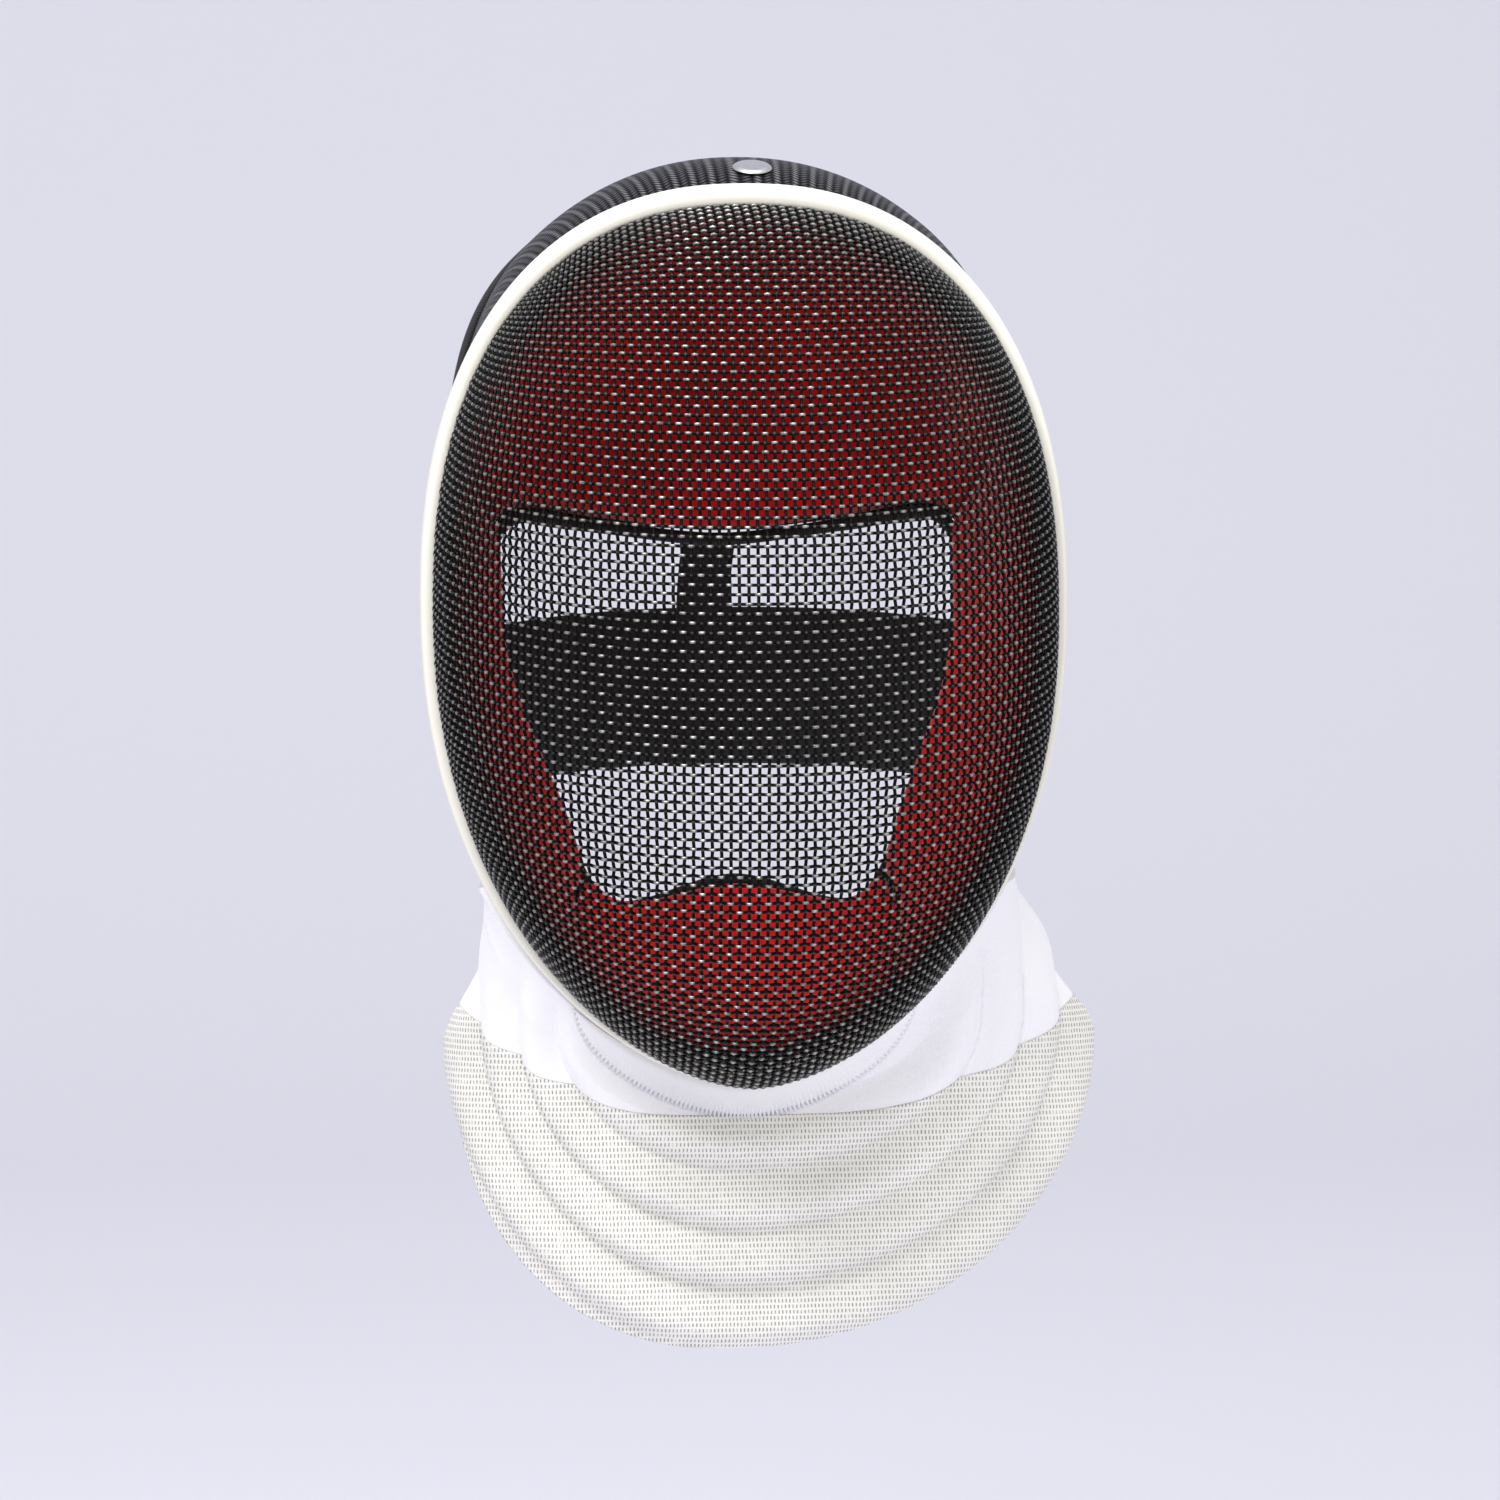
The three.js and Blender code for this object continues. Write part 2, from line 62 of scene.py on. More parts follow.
# ---------- Sizes and places ----------
# The rim's and the dome's places are worked out from the frame.
RIM_LOW, RIM_HIGH = (np.array(corner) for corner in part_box("face_trim"))
TRIM_WIDTH = {"crown": 7.2 * MM, "side": 5.4 * MM, "chin": 4.2 * MM}
TRIM_DEPTH = 14 * MM
GAP = 0.4 * MM
RIM_LEAN = math.tan(math.radians(4))
RIM_BOW = 5 * MM
RIM_POWERS = {"crown": 2.3, "chin": 2.2, "taper": 1.17}
RIM_HALF_WIDTH = RIM_HIGH[0] - TRIM_WIDTH["side"] / 2
RIM_ABOVE = 138.8 * MM
RIM_MIDDLE_Z = RIM_HIGH[2] - TRIM_WIDTH["crown"] / 2 - RIM_ABOVE
RIM_BELOW = RIM_MIDDLE_Z - RIM_LOW[2] - TRIM_WIDTH["chin"] / 2
RIM_MIDDLE_Y = RIM_LOW[1] + TRIM_DEPTH / 2 + RIM_LEAN * RIM_BELOW
DOME_DEPTH = RIM_MIDDLE_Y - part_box("woven_front")[0][1]
DOME_MIDDLE_DROP = 14 * MM
DOME_ROUNDNESS = 2.35
DOME_KEEL = 0.03
DOME_CARRY_ON = 300 * MM
DOME_UNDER_TRIM = 0.6 * MM
DOME_STEPS, DOME_RINGS = 144, 40
TRIM_MOULD = {
    "steps": 300, "corners": 28, "squareness": 0.55,
    "groove": 0.35 * MM, "groove_at": -1.5 * MM, "groove_width": 0.8 * MM,
}

# Woven wire: a net of equal cells. Its reaches are counted in wires from its middle.
WIRE_CRIMP = 0.92
# Shares of worn metal and painted highlight on the wires: upright wires get less painted highlight than
# across wires, and the stretches between crossings get little.
UPRIGHT_WEAR_AND_HIGHLIGHT = 0.56
BETWEEN_WEAR_AND_HIGHLIGHT = 0.3
WIRE_SIDES = 6
WIRE_PAST_RIM = 4 * MM
SHORTEST_RUN = 3
FEWEST_WIRES = 40
NET_REACH_ACROSS = 72
NET_REACH_UP = 60
NET_REACH_DOWN = 106
NET_MIDDLE_Z = RIM_MIDDLE_Z + 70 * MM

# Rear shell: where its wall ends at the back and how it leaves and meets its edges, in mm from the
# middle of the rim, for angles from the crown (0) to the chin (180).
SHELL_COLUMNS = (
    "angle", "rear_x", "rear_y", "rear_z", "front_out", "front_back", "rear_out", "rear_back")
SHELL_SECTIONS = [dict(zip(SHELL_COLUMNS, row)) for row in (
    (  0,     0,   125,     6,    22,    46,   127,    26),
    ( 30,    45,   120,    11,  12.5,    44,    88,    26),
    ( 60,    78,   106,    15,    -1,    38,    23,     6),
    ( 85,    86,    94,    -6,    -1,    32,    11,   -22),
    (105,    82,    84,   -38,     0,    30,    14,   -24),
    (130,    66,    68,   -78,    -1,    24,    16,   -24),
    (155,    45,    52,  -116,    -2,    20,    18,   -20),
    (180,     0,    58,  -110,    -3,    22,    26,   -12),
)]
SHELL_WALL = 2.4 * MM
COVER_STEPS, COVER_ROWS = 360, 56
BINDING = {"radius": 2.3 * MM, "onward": 1.6 * MM, "sides": 14}
PIPING = {"radius": 1.5 * MM, "along": 3 / 7, "reach": 60, "sides": 12}
CARBON_RIBS = 264

# Pads inside the shell: angles in degrees, thickness in mm.
PADS = {
    "crown_pad": (-64, 64, 11), "side_pad_right": (65, 146, 7),
    "side_pad_left": (-146, -65, 7), "chin_pad": (147, 213, 9),
}
PAD_SKIN = SHELL_WALL / 2 + 1 * MM
PAD_START = 0.14
PAD_REAR_ROUND = 0.62
PAD_REAR_SPAN = 0.1
PAD_EDGE = 0.12
PAD_ROUND_POWER = 8
PAD_ROWS = 60
PAD_RIPPLE = {"share": 0.025, "down": 27, "across": 0.35}

# Bib, measured from the middle of the rim.
CHANNELS = (1.36, 0.94, 0.58, 0.235, -0.15)
BIB = {
    "left_width": 96 * MM, "right_width": 124 * MM, "middle_width": 106.5 * MM, "bottom": -265 * MM,
    "side_height": -167 * MM, "edge_front": 22 * MM, "edge_back": 50 * MM, "edge_power": 0.93,
    "leg_in_left": 22 * MM, "leg_in_right": 32 * MM, "bottom_aside": -6 * MM, "leg_top": -100 * MM,
    "rim_end": math.radians(124), "root_out": 1 * MM, "round": 0.78, "wall": 3.2 * MM, "fall": 0.19,
    "level_width": 106 * MM, "level_drop": 109 * MM, "level_width_step": 38 * MM,
    "level_drop_step": 59.2 * MM, "level_top": -143 * MM, "belly_front": 4 * MM, "belly_side": 2 * MM,
    "swell_power": 1.15, "side_calm": 0.72, "swell_rise": 6,
}
LEVEL_RANGE = (-0.3, 1.7)
LEVEL_HALVINGS, LINE_HALVINGS = 22, 24
CLOTH_LINE = {"middle": -175.7 * MM, "rise": 39 * MM, "power": 2.6}
CLOTH_LIFT = 0.4 * MM
WRINKLE = {"height": 0.12 * MM, "waves": ((46, 5), (19, -9)), "rise": 5}
TAPE = {
    "width": 11.5 * MM, "tooth": 0.9 * MM, "wall": 0.75 * MM, "gap": 0.15 * MM,
    "steps": 361, "reach": 0.62, "shares": (0.0, 0.34, 0.67, 1.0),
}

# Copies of frame nodes
WELD = 0.01 * MM
QUAD_ANGLE = math.radians(40)
SHARP_ANGLE = math.radians(55)

# Finishes
# Bare metal where the enamel is worn off. It also stands for painted highlight on the wire crests.
WIRE_RUBBED_AND_HIGHLIGHT = (0.44, 0.43, 0.41, 1.0)
CLOTH_GAP = (0.3, 0.285, 0.25, 1.0)
TWILL_STEP = 2.2 * MM
BADGE_TONES = (0.42, 0.43, 0.45, 1), (0.75, 0.76, 0.78, 1)
WHITE_WEAVE = (0.9 * MM, 0.45 * MM, 0.5)
CONDUCTIVE_WEAVE = (1.3 * MM, 2.05 * MM, 0.2)

# Stage
CAMERA = {
    "aim": (0.0017, RIM_MIDDLE_Y, RIM_MIDDLE_Z - 49.5 * MM), "azimuth": -4.0, "elevation": 11.0,
    "distance": 2.4, "field": 0.51, "film": 36.0,
}
STAGE = {
    "level": -0.75, "depth": 2.6, "radius": 1.0, "height": 4.0, "half": 4.0,
    "colour": (0.668, 0.668, 0.737, 1.0), "sky": (0.98, 0.98, 1.0, 1.0), "sky_strength": 0.76,
}
LIGHTS = {
    "Key": ((-0.8, -1.5, 1.5), (1.0, 1.0), 36.0),
    "Fill": ((1.6, -1.6, 0.5), (1.4, 1.4), 8.0),
    "Top": ((0.0, -0.5, 1.7), (1.4, 0.8), 26.0),
}


# ---------- Sizes and colours that a user would change ----------
def colour_property(name, description, default):
    return bpy.props.FloatVectorProperty(
        name=name, description=description, subtype="COLOR", size=3, default=default)


class MaskWireSettings(bpy.types.PropertyGroup):
    pitch: bpy.props.FloatProperty(
        name="Pitch", description="Distance from wire to wire", default=3.1 * MM, unit="LENGTH")
    radius: bpy.props.FloatProperty(
        name="Radius", description="Half the thickness of a wire", default=0.56 * MM, unit="LENGTH",
        precision=5)
    colour: colour_property("Colour", "Enamel on the wire", (0.003, 0.003, 0.003))


class MaskCoverSettings(bpy.types.PropertyGroup):
    trim_colour: colour_property("Trim", "Colour of the rim moulding", (0.86, 0.83, 0.74))
    carbon_dark: colour_property("Carbon, dark", "Dark threads of the cover", (0.004, 0.004, 0.005))
    # The light tone stands for the cover's pale threads and also for painted highlight on the rib crowns.
    carbon_threads_and_highlight: colour_property("Carbon, light", "Light threads of the cover", (0.16, 0.16, 0.17))


class MaskPadSettings(bpy.types.PropertyGroup):
    red: colour_property("Lining", "Colour of the padding", (0.85, 0.014, 0.016))
    strap: colour_property("Strap", "Colour of the webbing", (0.006, 0.006, 0.007))


class MaskBibSettings(bpy.types.PropertyGroup):
    white: colour_property("Upper cloth", "Colour of the smooth cloth", (0.93, 0.92, 0.945))
    silver: colour_property("Conductive cloth", "Colour of the woven metal cloth", (0.92, 0.9, 0.84))
    puff: bpy.props.FloatProperty(
        name="Puff", description="How far a channel swells", default=7 * MM, unit="LENGTH")
    columns: bpy.props.IntProperty(name="Columns", description="Divisions round the bib", default=360)
    rows: bpy.props.IntProperty(name="Rows", description="Divisions from rim to free edge", default=150)


SETTINGS = {
    "mask_wire": MaskWireSettings,
    "mask_cover": MaskCoverSettings,
    "mask_pads": MaskPadSettings,
    "mask_bib": MaskBibSettings,
}


# ---------- Mesh tools ----------
def mix(a, b, share):
    return a + (b - a) * share


def signed_power(value, power):
    return math.copysign(abs(value) ** power, value)


def unit(vector):
    return vector / max(np.linalg.norm(vector), 1e-12)


def linked_object(name, data):
    item = bpy.data.objects.new(name, data)
    bpy.context.scene.collection.objects.link(item)
    return item


def mesh_object(name, points, faces):
    mesh = bpy.data.meshes.new(name)
    mesh.from_pydata([tuple(point) for point in points], [], faces)
    mesh.polygons.foreach_set("use_smooth", [True] * len(mesh.polygons))
    mesh.update()
    return linked_object(name, mesh)


def grid_faces(rows, columns, closed, start=0, flip=False):
    faces = []
    for r in range(rows - 1):
        for c in range(columns if closed else columns - 1):
            d = (c + 1) % columns
            corners = [r * columns + c, r * columns + d, (r + 1) * columns + d, (r + 1) * columns + c]
            if flip:
                corners.reverse()
            faces.append([start + corner for corner in corners])
    return faces


def rim_faces(rows, columns, closed):
    """The narrow faces that join the edges of two facing grids."""
    size = rows * columns
    faces = []
    last = (rows - 1) * columns
    for c in range(columns if closed else columns - 1):
        d = (c + 1) % columns
        faces.append([d, c, size + c, size + d])
        faces.append([last + c, last + d, size + last + d, size + last + c])
    if not closed:
        for r in range(rows - 1):
            a, b = r * columns, (r + 1) * columns
            faces.append([a, b, size + b, size + a])
            a, b = a + columns - 1, b + columns - 1
            faces.append([b, a, size + a, size + b])
    return faces


def point_outwards(piece):
    work = bmesh.new()
    work.from_mesh(piece.data)
    bmesh.ops.recalc_face_normals(work, faces=work.faces)
    if work.calc_volume(signed=True) < 0:
        bmesh.ops.reverse_faces(work, faces=work.faces)
    work.to_mesh(piece.data)
    work.free()


def wall_object(name, outer, inner, closed):
    """A closed wall between two facing grids of points."""
    rows, columns = len(outer), len(outer[0])
    points = [point for row in outer for point in row] + [point for row in inner for point in row]
    faces = grid_faces(rows, columns, closed)
    faces += grid_faces(rows, columns, closed, rows * columns, flip=True)
    faces += rim_faces(rows, columns, closed)
    piece = mesh_object(name, points, faces)
    point_outwards(piece)
    return piece


def add_uv(piece, coordinates):
    """Lays a UV map on a piece from one (u, v) for each vertex."""
    layer = piece.data.uv_layers.new(name="Cloth")
    for loop in piece.data.loops:
        layer.data[loop.index].uv = coordinates[loop.vertex_index]


def finish_piece(piece, material, slot_name, *nodes):
    piece.data.materials.clear()
    piece.data.materials.append(material)
    if nodes:
        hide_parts(*nodes)
    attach(piece, BODY)
    return piece


def tube_points(path, radius, sides, closed):
    """Rings of points round a path, kept from twisting."""
    count = len(path)
    rings = []
    up = None
    for i, point in enumerate(path):
        ahead = path[(i + 1) % count] if closed else path[min(count - 1, i + 1)]
        behind = path[(i - 1) % count] if closed else path[max(0, i - 1)]
        along = unit(ahead - behind)
        if up is None:
            up = np.array((0.0, 1.0, 0.0)) if abs(along[1]) < 0.9 else np.array((0.0, 0.0, 1.0))
        up = unit(up - along * np.dot(up, along))
        side = np.cross(along, up)
        turns = [2 * math.pi * k / sides for k in range(sides)]
        rings.append([point + radius * (math.cos(t) * side + math.sin(t) * up) for t in turns])
    return rings


def ring_object(name, rings, closed):
    """A skin over rings of points, joined from end to start or with flat ends."""
    sides = len(rings[0])
    faces = grid_faces(len(rings), sides, True)
    last = (len(rings) - 1) * sides
    if closed:
        turn = best_turn(rings[-1], rings[0])
        faces += [[last + k, last + (k + 1) % sides, (k + 1 + turn) % sides, (k + turn) % sides]
                  for k in range(sides)]
    else:
        faces.append(list(range(sides)))
        faces.append([last + k for k in reversed(range(sides))])
    piece = mesh_object(name, [point for ring in rings for point in ring], faces)
    point_outwards(piece)
    return piece


def best_turn(ring, target):
    sides = len(ring)
    gaps = [sum(np.linalg.norm(ring[k] - target[(k + turn) % sides]) for k in range(sides))
            for turn in range(sides)]
    return gaps.index(min(gaps))


# ---------- Shape of the rim and the face ----------
def rim_point(angle, grow=0.0):
    sine, cosine = math.sin(angle), math.cos(angle)
    above = cosine >= 0
    height = (RIM_ABOVE if above else RIM_BELOW) + grow
    wide_power = 2 / RIM_POWERS["crown"] if above else RIM_POWERS["taper"]
    tall_power = 2 / (RIM_POWERS["crown"] if above else RIM_POWERS["chin"])
    x = (RIM_HALF_WIDTH + grow) * signed_power(sine, wide_power)
    z = height * signed_power(cosine, tall_power)
    y = RIM_MIDDLE_Y + RIM_LEAN * z + RIM_BOW * sine * sine
    return np.array((x, y, RIM_MIDDLE_Z + z))


def rim_outward(angle):
    along = rim_point(angle + 0.01) - rim_point(angle - 0.01)
    return unit(np.array((-along[2], 0.0, along[0])))


def trim_width(angle):
    cosine = math.cos(angle)
    end = TRIM_WIDTH["crown" if cosine > 0 else "chin"]
    return mix(TRIM_WIDTH["side"], end, cosine ** 4)


def face_trim_mesh():
    """The rim moulding: rounded at the front, with a shallow groove before its rear flange."""
    steps, corners, squareness = (TRIM_MOULD[key] for key in ("steps", "corners", "squareness"))
    rings = []
    for i in range(steps):
        angle = 2 * math.pi * i / steps
        middle, outward = rim_point(angle), rim_outward(angle)
        ring = []
        for k in range(corners):
            turn = 2 * math.pi * k / corners
            across = signed_power(math.cos(turn), squareness) * trim_width(angle) / 2
            along = signed_power(math.sin(turn), squareness) * TRIM_DEPTH / 2
            if across > 0:
                from_groove = (along - TRIM_MOULD["groove_at"]) / TRIM_MOULD["groove_width"]
                across -= TRIM_MOULD["groove"] * math.exp(-from_groove ** 2)
            ring.append(middle + outward * across + np.array((0, along, 0)))
        rings.append(ring)
    return ring_object("face_trim_moulding", rings, True)


def dome_point(angle, share):
    edge = rim_point(angle, -trim_width(angle) / 2 + DOME_UNDER_TRIM)
    rise = max(0.0, 1 - share ** DOME_ROUNDNESS) ** (1 / DOME_ROUNDNESS)
    keel = 1 - DOME_KEEL * abs(math.sin(angle)) * share * (1 - share) * 4
    middle = np.array((0, RIM_MIDDLE_Y, RIM_MIDDLE_Z - DOME_MIDDLE_DROP))
    point = mix(middle, edge, share)
    point[1] -= DOME_DEPTH * rise * keel
    return point


def dome_tree():
    """The face as a fine surface that the wires are laid on, carried on past its rim."""
    steps, rings = DOME_STEPS, DOME_RINGS
    points = [dome_point(0, 0)]
    for r in range(1, rings + 1):
        share = math.sin(r / rings * math.pi / 2)
        points += [dome_point(2 * math.pi * c / steps, share) for c in range(steps)]
    for c in range(steps):
        edge = dome_point(2 * math.pi * c / steps, 1)
        points.append(edge + np.array((0, DOME_CARRY_ON, 0)))
    faces = [[0, 1 + c, 1 + (c + 1) % steps] for c in range(steps)]
    faces += grid_faces(rings + 1, steps, True, 1)
    vectors = [Vector(point) for point in points]
    return BVHTree.FromPolygons(vectors, faces)


# ---------- Woven wire ----------
def next_on_surface(tree, a, b, old, length):
    """The far corner of a cell whose sides a and b are known: a fixed length from both, on the surface."""
    guess = a + b - old
    for _ in range(6):
        for anchor in (a, b):
            reach = guess - anchor
            guess = anchor + reach * (length / max(reach.length, 1e-9))
        guess = tree.find_nearest(guess)[0]
    return guess


def walk_line(tree, start, direction, length, count, keep_axis):
    """Steps of equal length along the surface, held in one plane through the dome's middle."""
    points = [start]
    step = direction * length
    for _ in range(count):
        guess = points[-1] + step
        for _ in range(5):
            guess[keep_axis] = start[keep_axis]
            reach = guess - points[-1]
            guess = points[-1] + reach * (length / max(reach.length, 1e-9))
            guess = tree.find_nearest(guess)[0]
        step = guess - points[-1]
        points.append(guess)
    return points


def wire_net(tree, pitch):
    """Crossing points of the wires, as a net of cells with equal sides laid over the dome."""
    front = Vector((0, RIM_MIDDLE_Y - 2 * DOME_DEPTH, NET_MIDDLE_Z))
    start = tree.ray_cast(front, Vector((0, 1, 0)))[0]
    net = {(0, 0): start}
    for side in (1, -1):
        across = walk_line(tree, start, Vector((side, 0, 0)), pitch, NET_REACH_ACROSS, 2)
        for i, point in enumerate(across):
            net[(side * i, 0)] = point
    for side, reach in ((1, NET_REACH_UP), (-1, NET_REACH_DOWN)):
        up = walk_line(tree, start, Vector((0, 0, side)), pitch, reach, 0)
        for j, point in enumerate(up):
            net[(0, side * j)] = point
    for sx in (1, -1):
        for sz, reach in ((1, NET_REACH_UP), (-1, NET_REACH_DOWN)):
            for i in range(1, NET_REACH_ACROSS + 1):
                for j in range(1, reach + 1):
                    a, b = net[(sx * i, sz * (j - 1))], net[(sx * (i - 1), sz * j)]
                    old = net[(sx * (i - 1), sz * (j - 1))]
                    net[(sx * i, sz * j)] = next_on_surface(tree, a, b, old, pitch)
    return net


def inside_rim(point):
    """Whether a net point lies on the dome, or only just past the moulding's middle."""
    return point[1] < RIM_MIDDLE_Y + RIM_LEAN * (point[2] - RIM_MIDDLE_Z) + WIRE_PAST_RIM


def wire_runs(tree, net, along_x, radius):
    """Each wire as a run of points that goes over one crossing wire and under the next."""
    upright = range(-NET_REACH_DOWN, NET_REACH_UP + 1)
    across = range(-NET_REACH_ACROSS, NET_REACH_ACROSS + 1)
    outer, inner = (upright, across) if along_x else (across, upright)
    runs = []
    for line in outer:
        run = []
        previous = None
        for step in inner:
            key = (step, line) if along_x else (line, step)
            point = net[key]
            if not inside_rim(point):
                if len(run) > SHORTEST_RUN:
                    runs.append(run)
                run, previous = [], None
                continue
            normal = np.array(tree.find_nearest(point)[1])
            if np.dot(normal, np.array((0, -1, 0)) + (point[0], 0, point[2] - RIM_MIDDLE_Z)) < 0:
                normal = -normal
            over = 1 if (key[0] + key[1] + (0 if along_x else 1)) % 2 else -1
            place = np.array(point)
            if previous is not None:
                # Each point carries a share of worn metal and painted highlight: most where an across wire
                # passes over, less on upright wires, a little between crossings, none where a wire dips
                # under.
                run.append(((previous + place) / 2, BETWEEN_WEAR_AND_HIGHLIGHT))
            height = (1.0 if along_x else UPRIGHT_WEAR_AND_HIGHLIGHT) if over > 0 else 0.0
            run.append((place + normal * (over * radius * WIRE_CRIMP), height))
            previous = place
        if len(run) > SHORTEST_RUN:
            runs.append(run)
    return runs


def wires_as_lines(name, runs):
    """The runs as a mesh of edges. Each point carries how much worn bare metal and painted highlight the wire
    shows there.
    """
    points, edges, wear_and_highlight_shares = [], [], []
    for run in runs:
        edges += [(len(points) + k, len(points) + k + 1) for k in range(len(run) - 1)]
        points += [tuple(point) for point, _ in run]
        wear_and_highlight_shares += [height for _, height in run]
    mesh = bpy.data.meshes.new(name)
    mesh.from_pydata(points, edges, [])
    crest_wear_and_highlight = mesh.attributes.new("crest_wear_and_highlight", "FLOAT", "POINT")
    crest_wear_and_highlight.data.foreach_set("value", wear_and_highlight_shares)
    return linked_object(name, mesh)


def wire_tree(material):
    """Geometry Nodes: a round wire along every run of edges, with closed ends."""
    tree = bpy.data.node_groups.new("Drawn wire", "GeometryNodeTree")
    tree.interface.new_socket("Runs", in_out="INPUT", socket_type="NodeSocketGeometry")
    radius = tree.interface.new_socket("Radius", in_out="INPUT", socket_type="NodeSocketFloat")
    sides = tree.interface.new_socket("Sides", in_out="INPUT", socket_type="NodeSocketInt")
    tree.interface.new_socket("Wires", in_out="OUTPUT", socket_type="NodeSocketGeometry")
    add = tree.nodes.new
    source, target = add("NodeGroupInput"), add("NodeGroupOutput")
    profile, sweep = add("GeometryNodeCurvePrimitiveCircle"), add("GeometryNodeCurveToMesh")
    smooth, realize = add("GeometryNodeSetShadeSmooth"), add("GeometryNodeRealizeInstances")
    line, paint = add("GeometryNodeMeshToCurve"), add("GeometryNodeSetMaterial")
    sweep.inputs["Fill Caps"].default_value = True
    paint.inputs["Material"].default_value = material
    link = tree.links.new
    link(source.outputs["Radius"], profile.inputs["Radius"])
    link(source.outputs["Sides"], profile.inputs["Resolution"])
    link(source.outputs["Runs"], line.inputs["Mesh"])
    link(line.outputs["Curve"], sweep.inputs["Curve"])
    link(profile.outputs["Curve"], sweep.inputs["Profile Curve"])
    link(sweep.outputs["Mesh"], smooth.inputs["Geometry"])
    link(smooth.outputs["Geometry"], realize.inputs["Geometry"])
    link(realize.outputs["Geometry"], paint.inputs["Geometry"])
    link(paint.outputs["Geometry"], target.inputs["Wires"])
    return tree, radius.identifier, sides.identifier


def made_plain(piece, name):
    """The piece as a plain mesh, with its modifiers' result in it."""
    graph = bpy.context.evaluated_depsgraph_get()
    mesh = bpy.data.meshes.new_from_object(piece.evaluated_get(graph))
    source = piece.data
    bpy.data.objects.remove(piece)
    bpy.data.meshes.remove(source)
    mesh.name = name
    return linked_object(name, mesh)


def swept_wires(name, runs, settings, material):
    holder = wires_as_lines(name + "_runs", runs)
    tree, radius, sides = wire_tree(material)
    modifier = holder.modifiers.new("Drawn wire", "NODES")
    modifier.node_group = tree
    modifier[radius] = settings.radius
    modifier[sides] = WIRE_SIDES
    return made_plain(holder, name)


# ---------- Shell, pads and straps ----------
def curve_through(column, at):
    """A smooth curve through a column of the shell's table. Both ends lie on the middle plane."""
    last = len(SHELL_SECTIONS) - 1
    index = max([i for i, row in enumerate(SHELL_SECTIONS[:-1]) if row["angle"] <= at])
    start, end = SHELL_SECTIONS[index]["angle"], SHELL_SECTIONS[index + 1]["angle"]
    share = (at - start) / (end - start)
    values = [row[column] for row in SHELL_SECTIONS]
    p, q = values[index], values[index + 1]
    before = values[index - 1] if index else (-q if p == 0 else q)
    after = values[index + 2] if index < last - 1 else (-p if q == 0 else p)
    cubic = -before + 3 * p - 3 * q + after
    square = 2 * before - 5 * p + 4 * q - after
    return (p + 0.5 * share * (q - before + share * (square + share * cubic))) * MM


def shell_controls(degrees):
    """The four points that steer the shell's wall from the moulding to its rear edge."""
    turned = (degrees + 540) % 360 - 180
    side = -1 if turned < 0 else 1
    row = {column: curve_through(column, abs(turned)) for column in SHELL_COLUMNS[1:]}
    angle = math.radians(turned)
    outward = rim_outward(angle)
    backward = np.array((0.0, 1.0, 0.0))
    start = rim_point(angle) + backward * (TRIM_DEPTH / 2 + 2 * GAP)
    end = np.array((side * max(0.0, row["rear_x"]), row["rear_y"], row["rear_z"]))
    end += np.array((0, RIM_MIDDLE_Y, RIM_MIDDLE_Z))
    first = start + outward * row["front_out"] + backward * row["front_back"]
    second = end + outward * row["rear_out"] + backward * row["rear_back"]
    return start, first, second, end


def shell_walls(degrees, shares):
    """Points on the middle of the wall and the directions out of it, row by row from the front."""
    spread = [degrees[0] - 0.5, *degrees, degrees[-1] + 0.5]
    t = np.array(shares)[:, None, None]
    start, first, second, end = (np.array(points)[None] for points in zip(*map(shell_controls, spread)))
    rest = 1 - t
    place = rest ** 3 * start + 3 * rest ** 2 * t * first + 3 * rest * t * t * second + t ** 3 * end
    back = 3 * (rest ** 2 * (first - start) + 2 * rest * t * (second - first) + t * t * (end - second))
    around = place[:, 2:] - place[:, :-2]
    out = np.cross(around, back[:, 1:-1])
    return place[:, 1:-1], out / np.linalg.norm(out, axis=2, keepdims=True)


def cover_piece():
    """The shell's wall, with a map of turns round the rim and shares from front to back."""
    steps, rows = COVER_STEPS, COVER_ROWS
    degrees = [360 * c / steps for c in range(steps)]
    shares = [r / (rows - 1) for r in range(rows)]
    middle, out = shell_walls(degrees, shares)
    outer, inner = middle + out * SHELL_WALL / 2, middle - out * SHELL_WALL / 2
    piece = wall_object("shell_cover", list(outer), list(inner), True)
    lengths = np.cumsum(np.linalg.norm(np.diff(middle, axis=0, prepend=middle[:1]), axis=2), axis=0)
    flat = [(c / steps, lengths[r, c]) for _ in range(2) for r in range(rows) for c in range(steps)]
    layer = piece.data.uv_layers.new(name="Cloth")
    for face in piece.data.polygons:
        corners = [flat[piece.data.loops[k].vertex_index] for k in face.loop_indices]
        past = max(u for u, _ in corners) > 0.75
        for k, (u, v) in zip(face.loop_indices, corners):
            layer.data[k].uv = (u + 1 if past and u < 0.25 else u, v)
    return piece


def binding_piece():
    """The braid round the shell's rear edge."""
    middle, _ = shell_walls([float(c) for c in range(360)], (0.97, 1.0))
    onward = middle[1] - middle[0]
    onward /= np.linalg.norm(onward, axis=1, keepdims=True)
    path = middle[1] + onward * (BINDING["radius"] + BINDING["onward"] / 2)
    return ring_object("shell_binding", tube_points(path, BINDING["radius"], BINDING["sides"], True), True)


def piping_piece():
    """The piping that stands on the crown, from side to side."""
    degrees = [float(c) for c in range(-PIPING["reach"], PIPING["reach"] + 1)]
    middle, out = shell_walls(degrees, (PIPING["along"],))
    path = middle[0] + out[0] * (SHELL_WALL / 2 + PIPING["radius"] + GAP / 2)
    rings = tube_points(path, PIPING["radius"], PIPING["sides"], False)
    return ring_object("crown_piping_cord", rings, False)


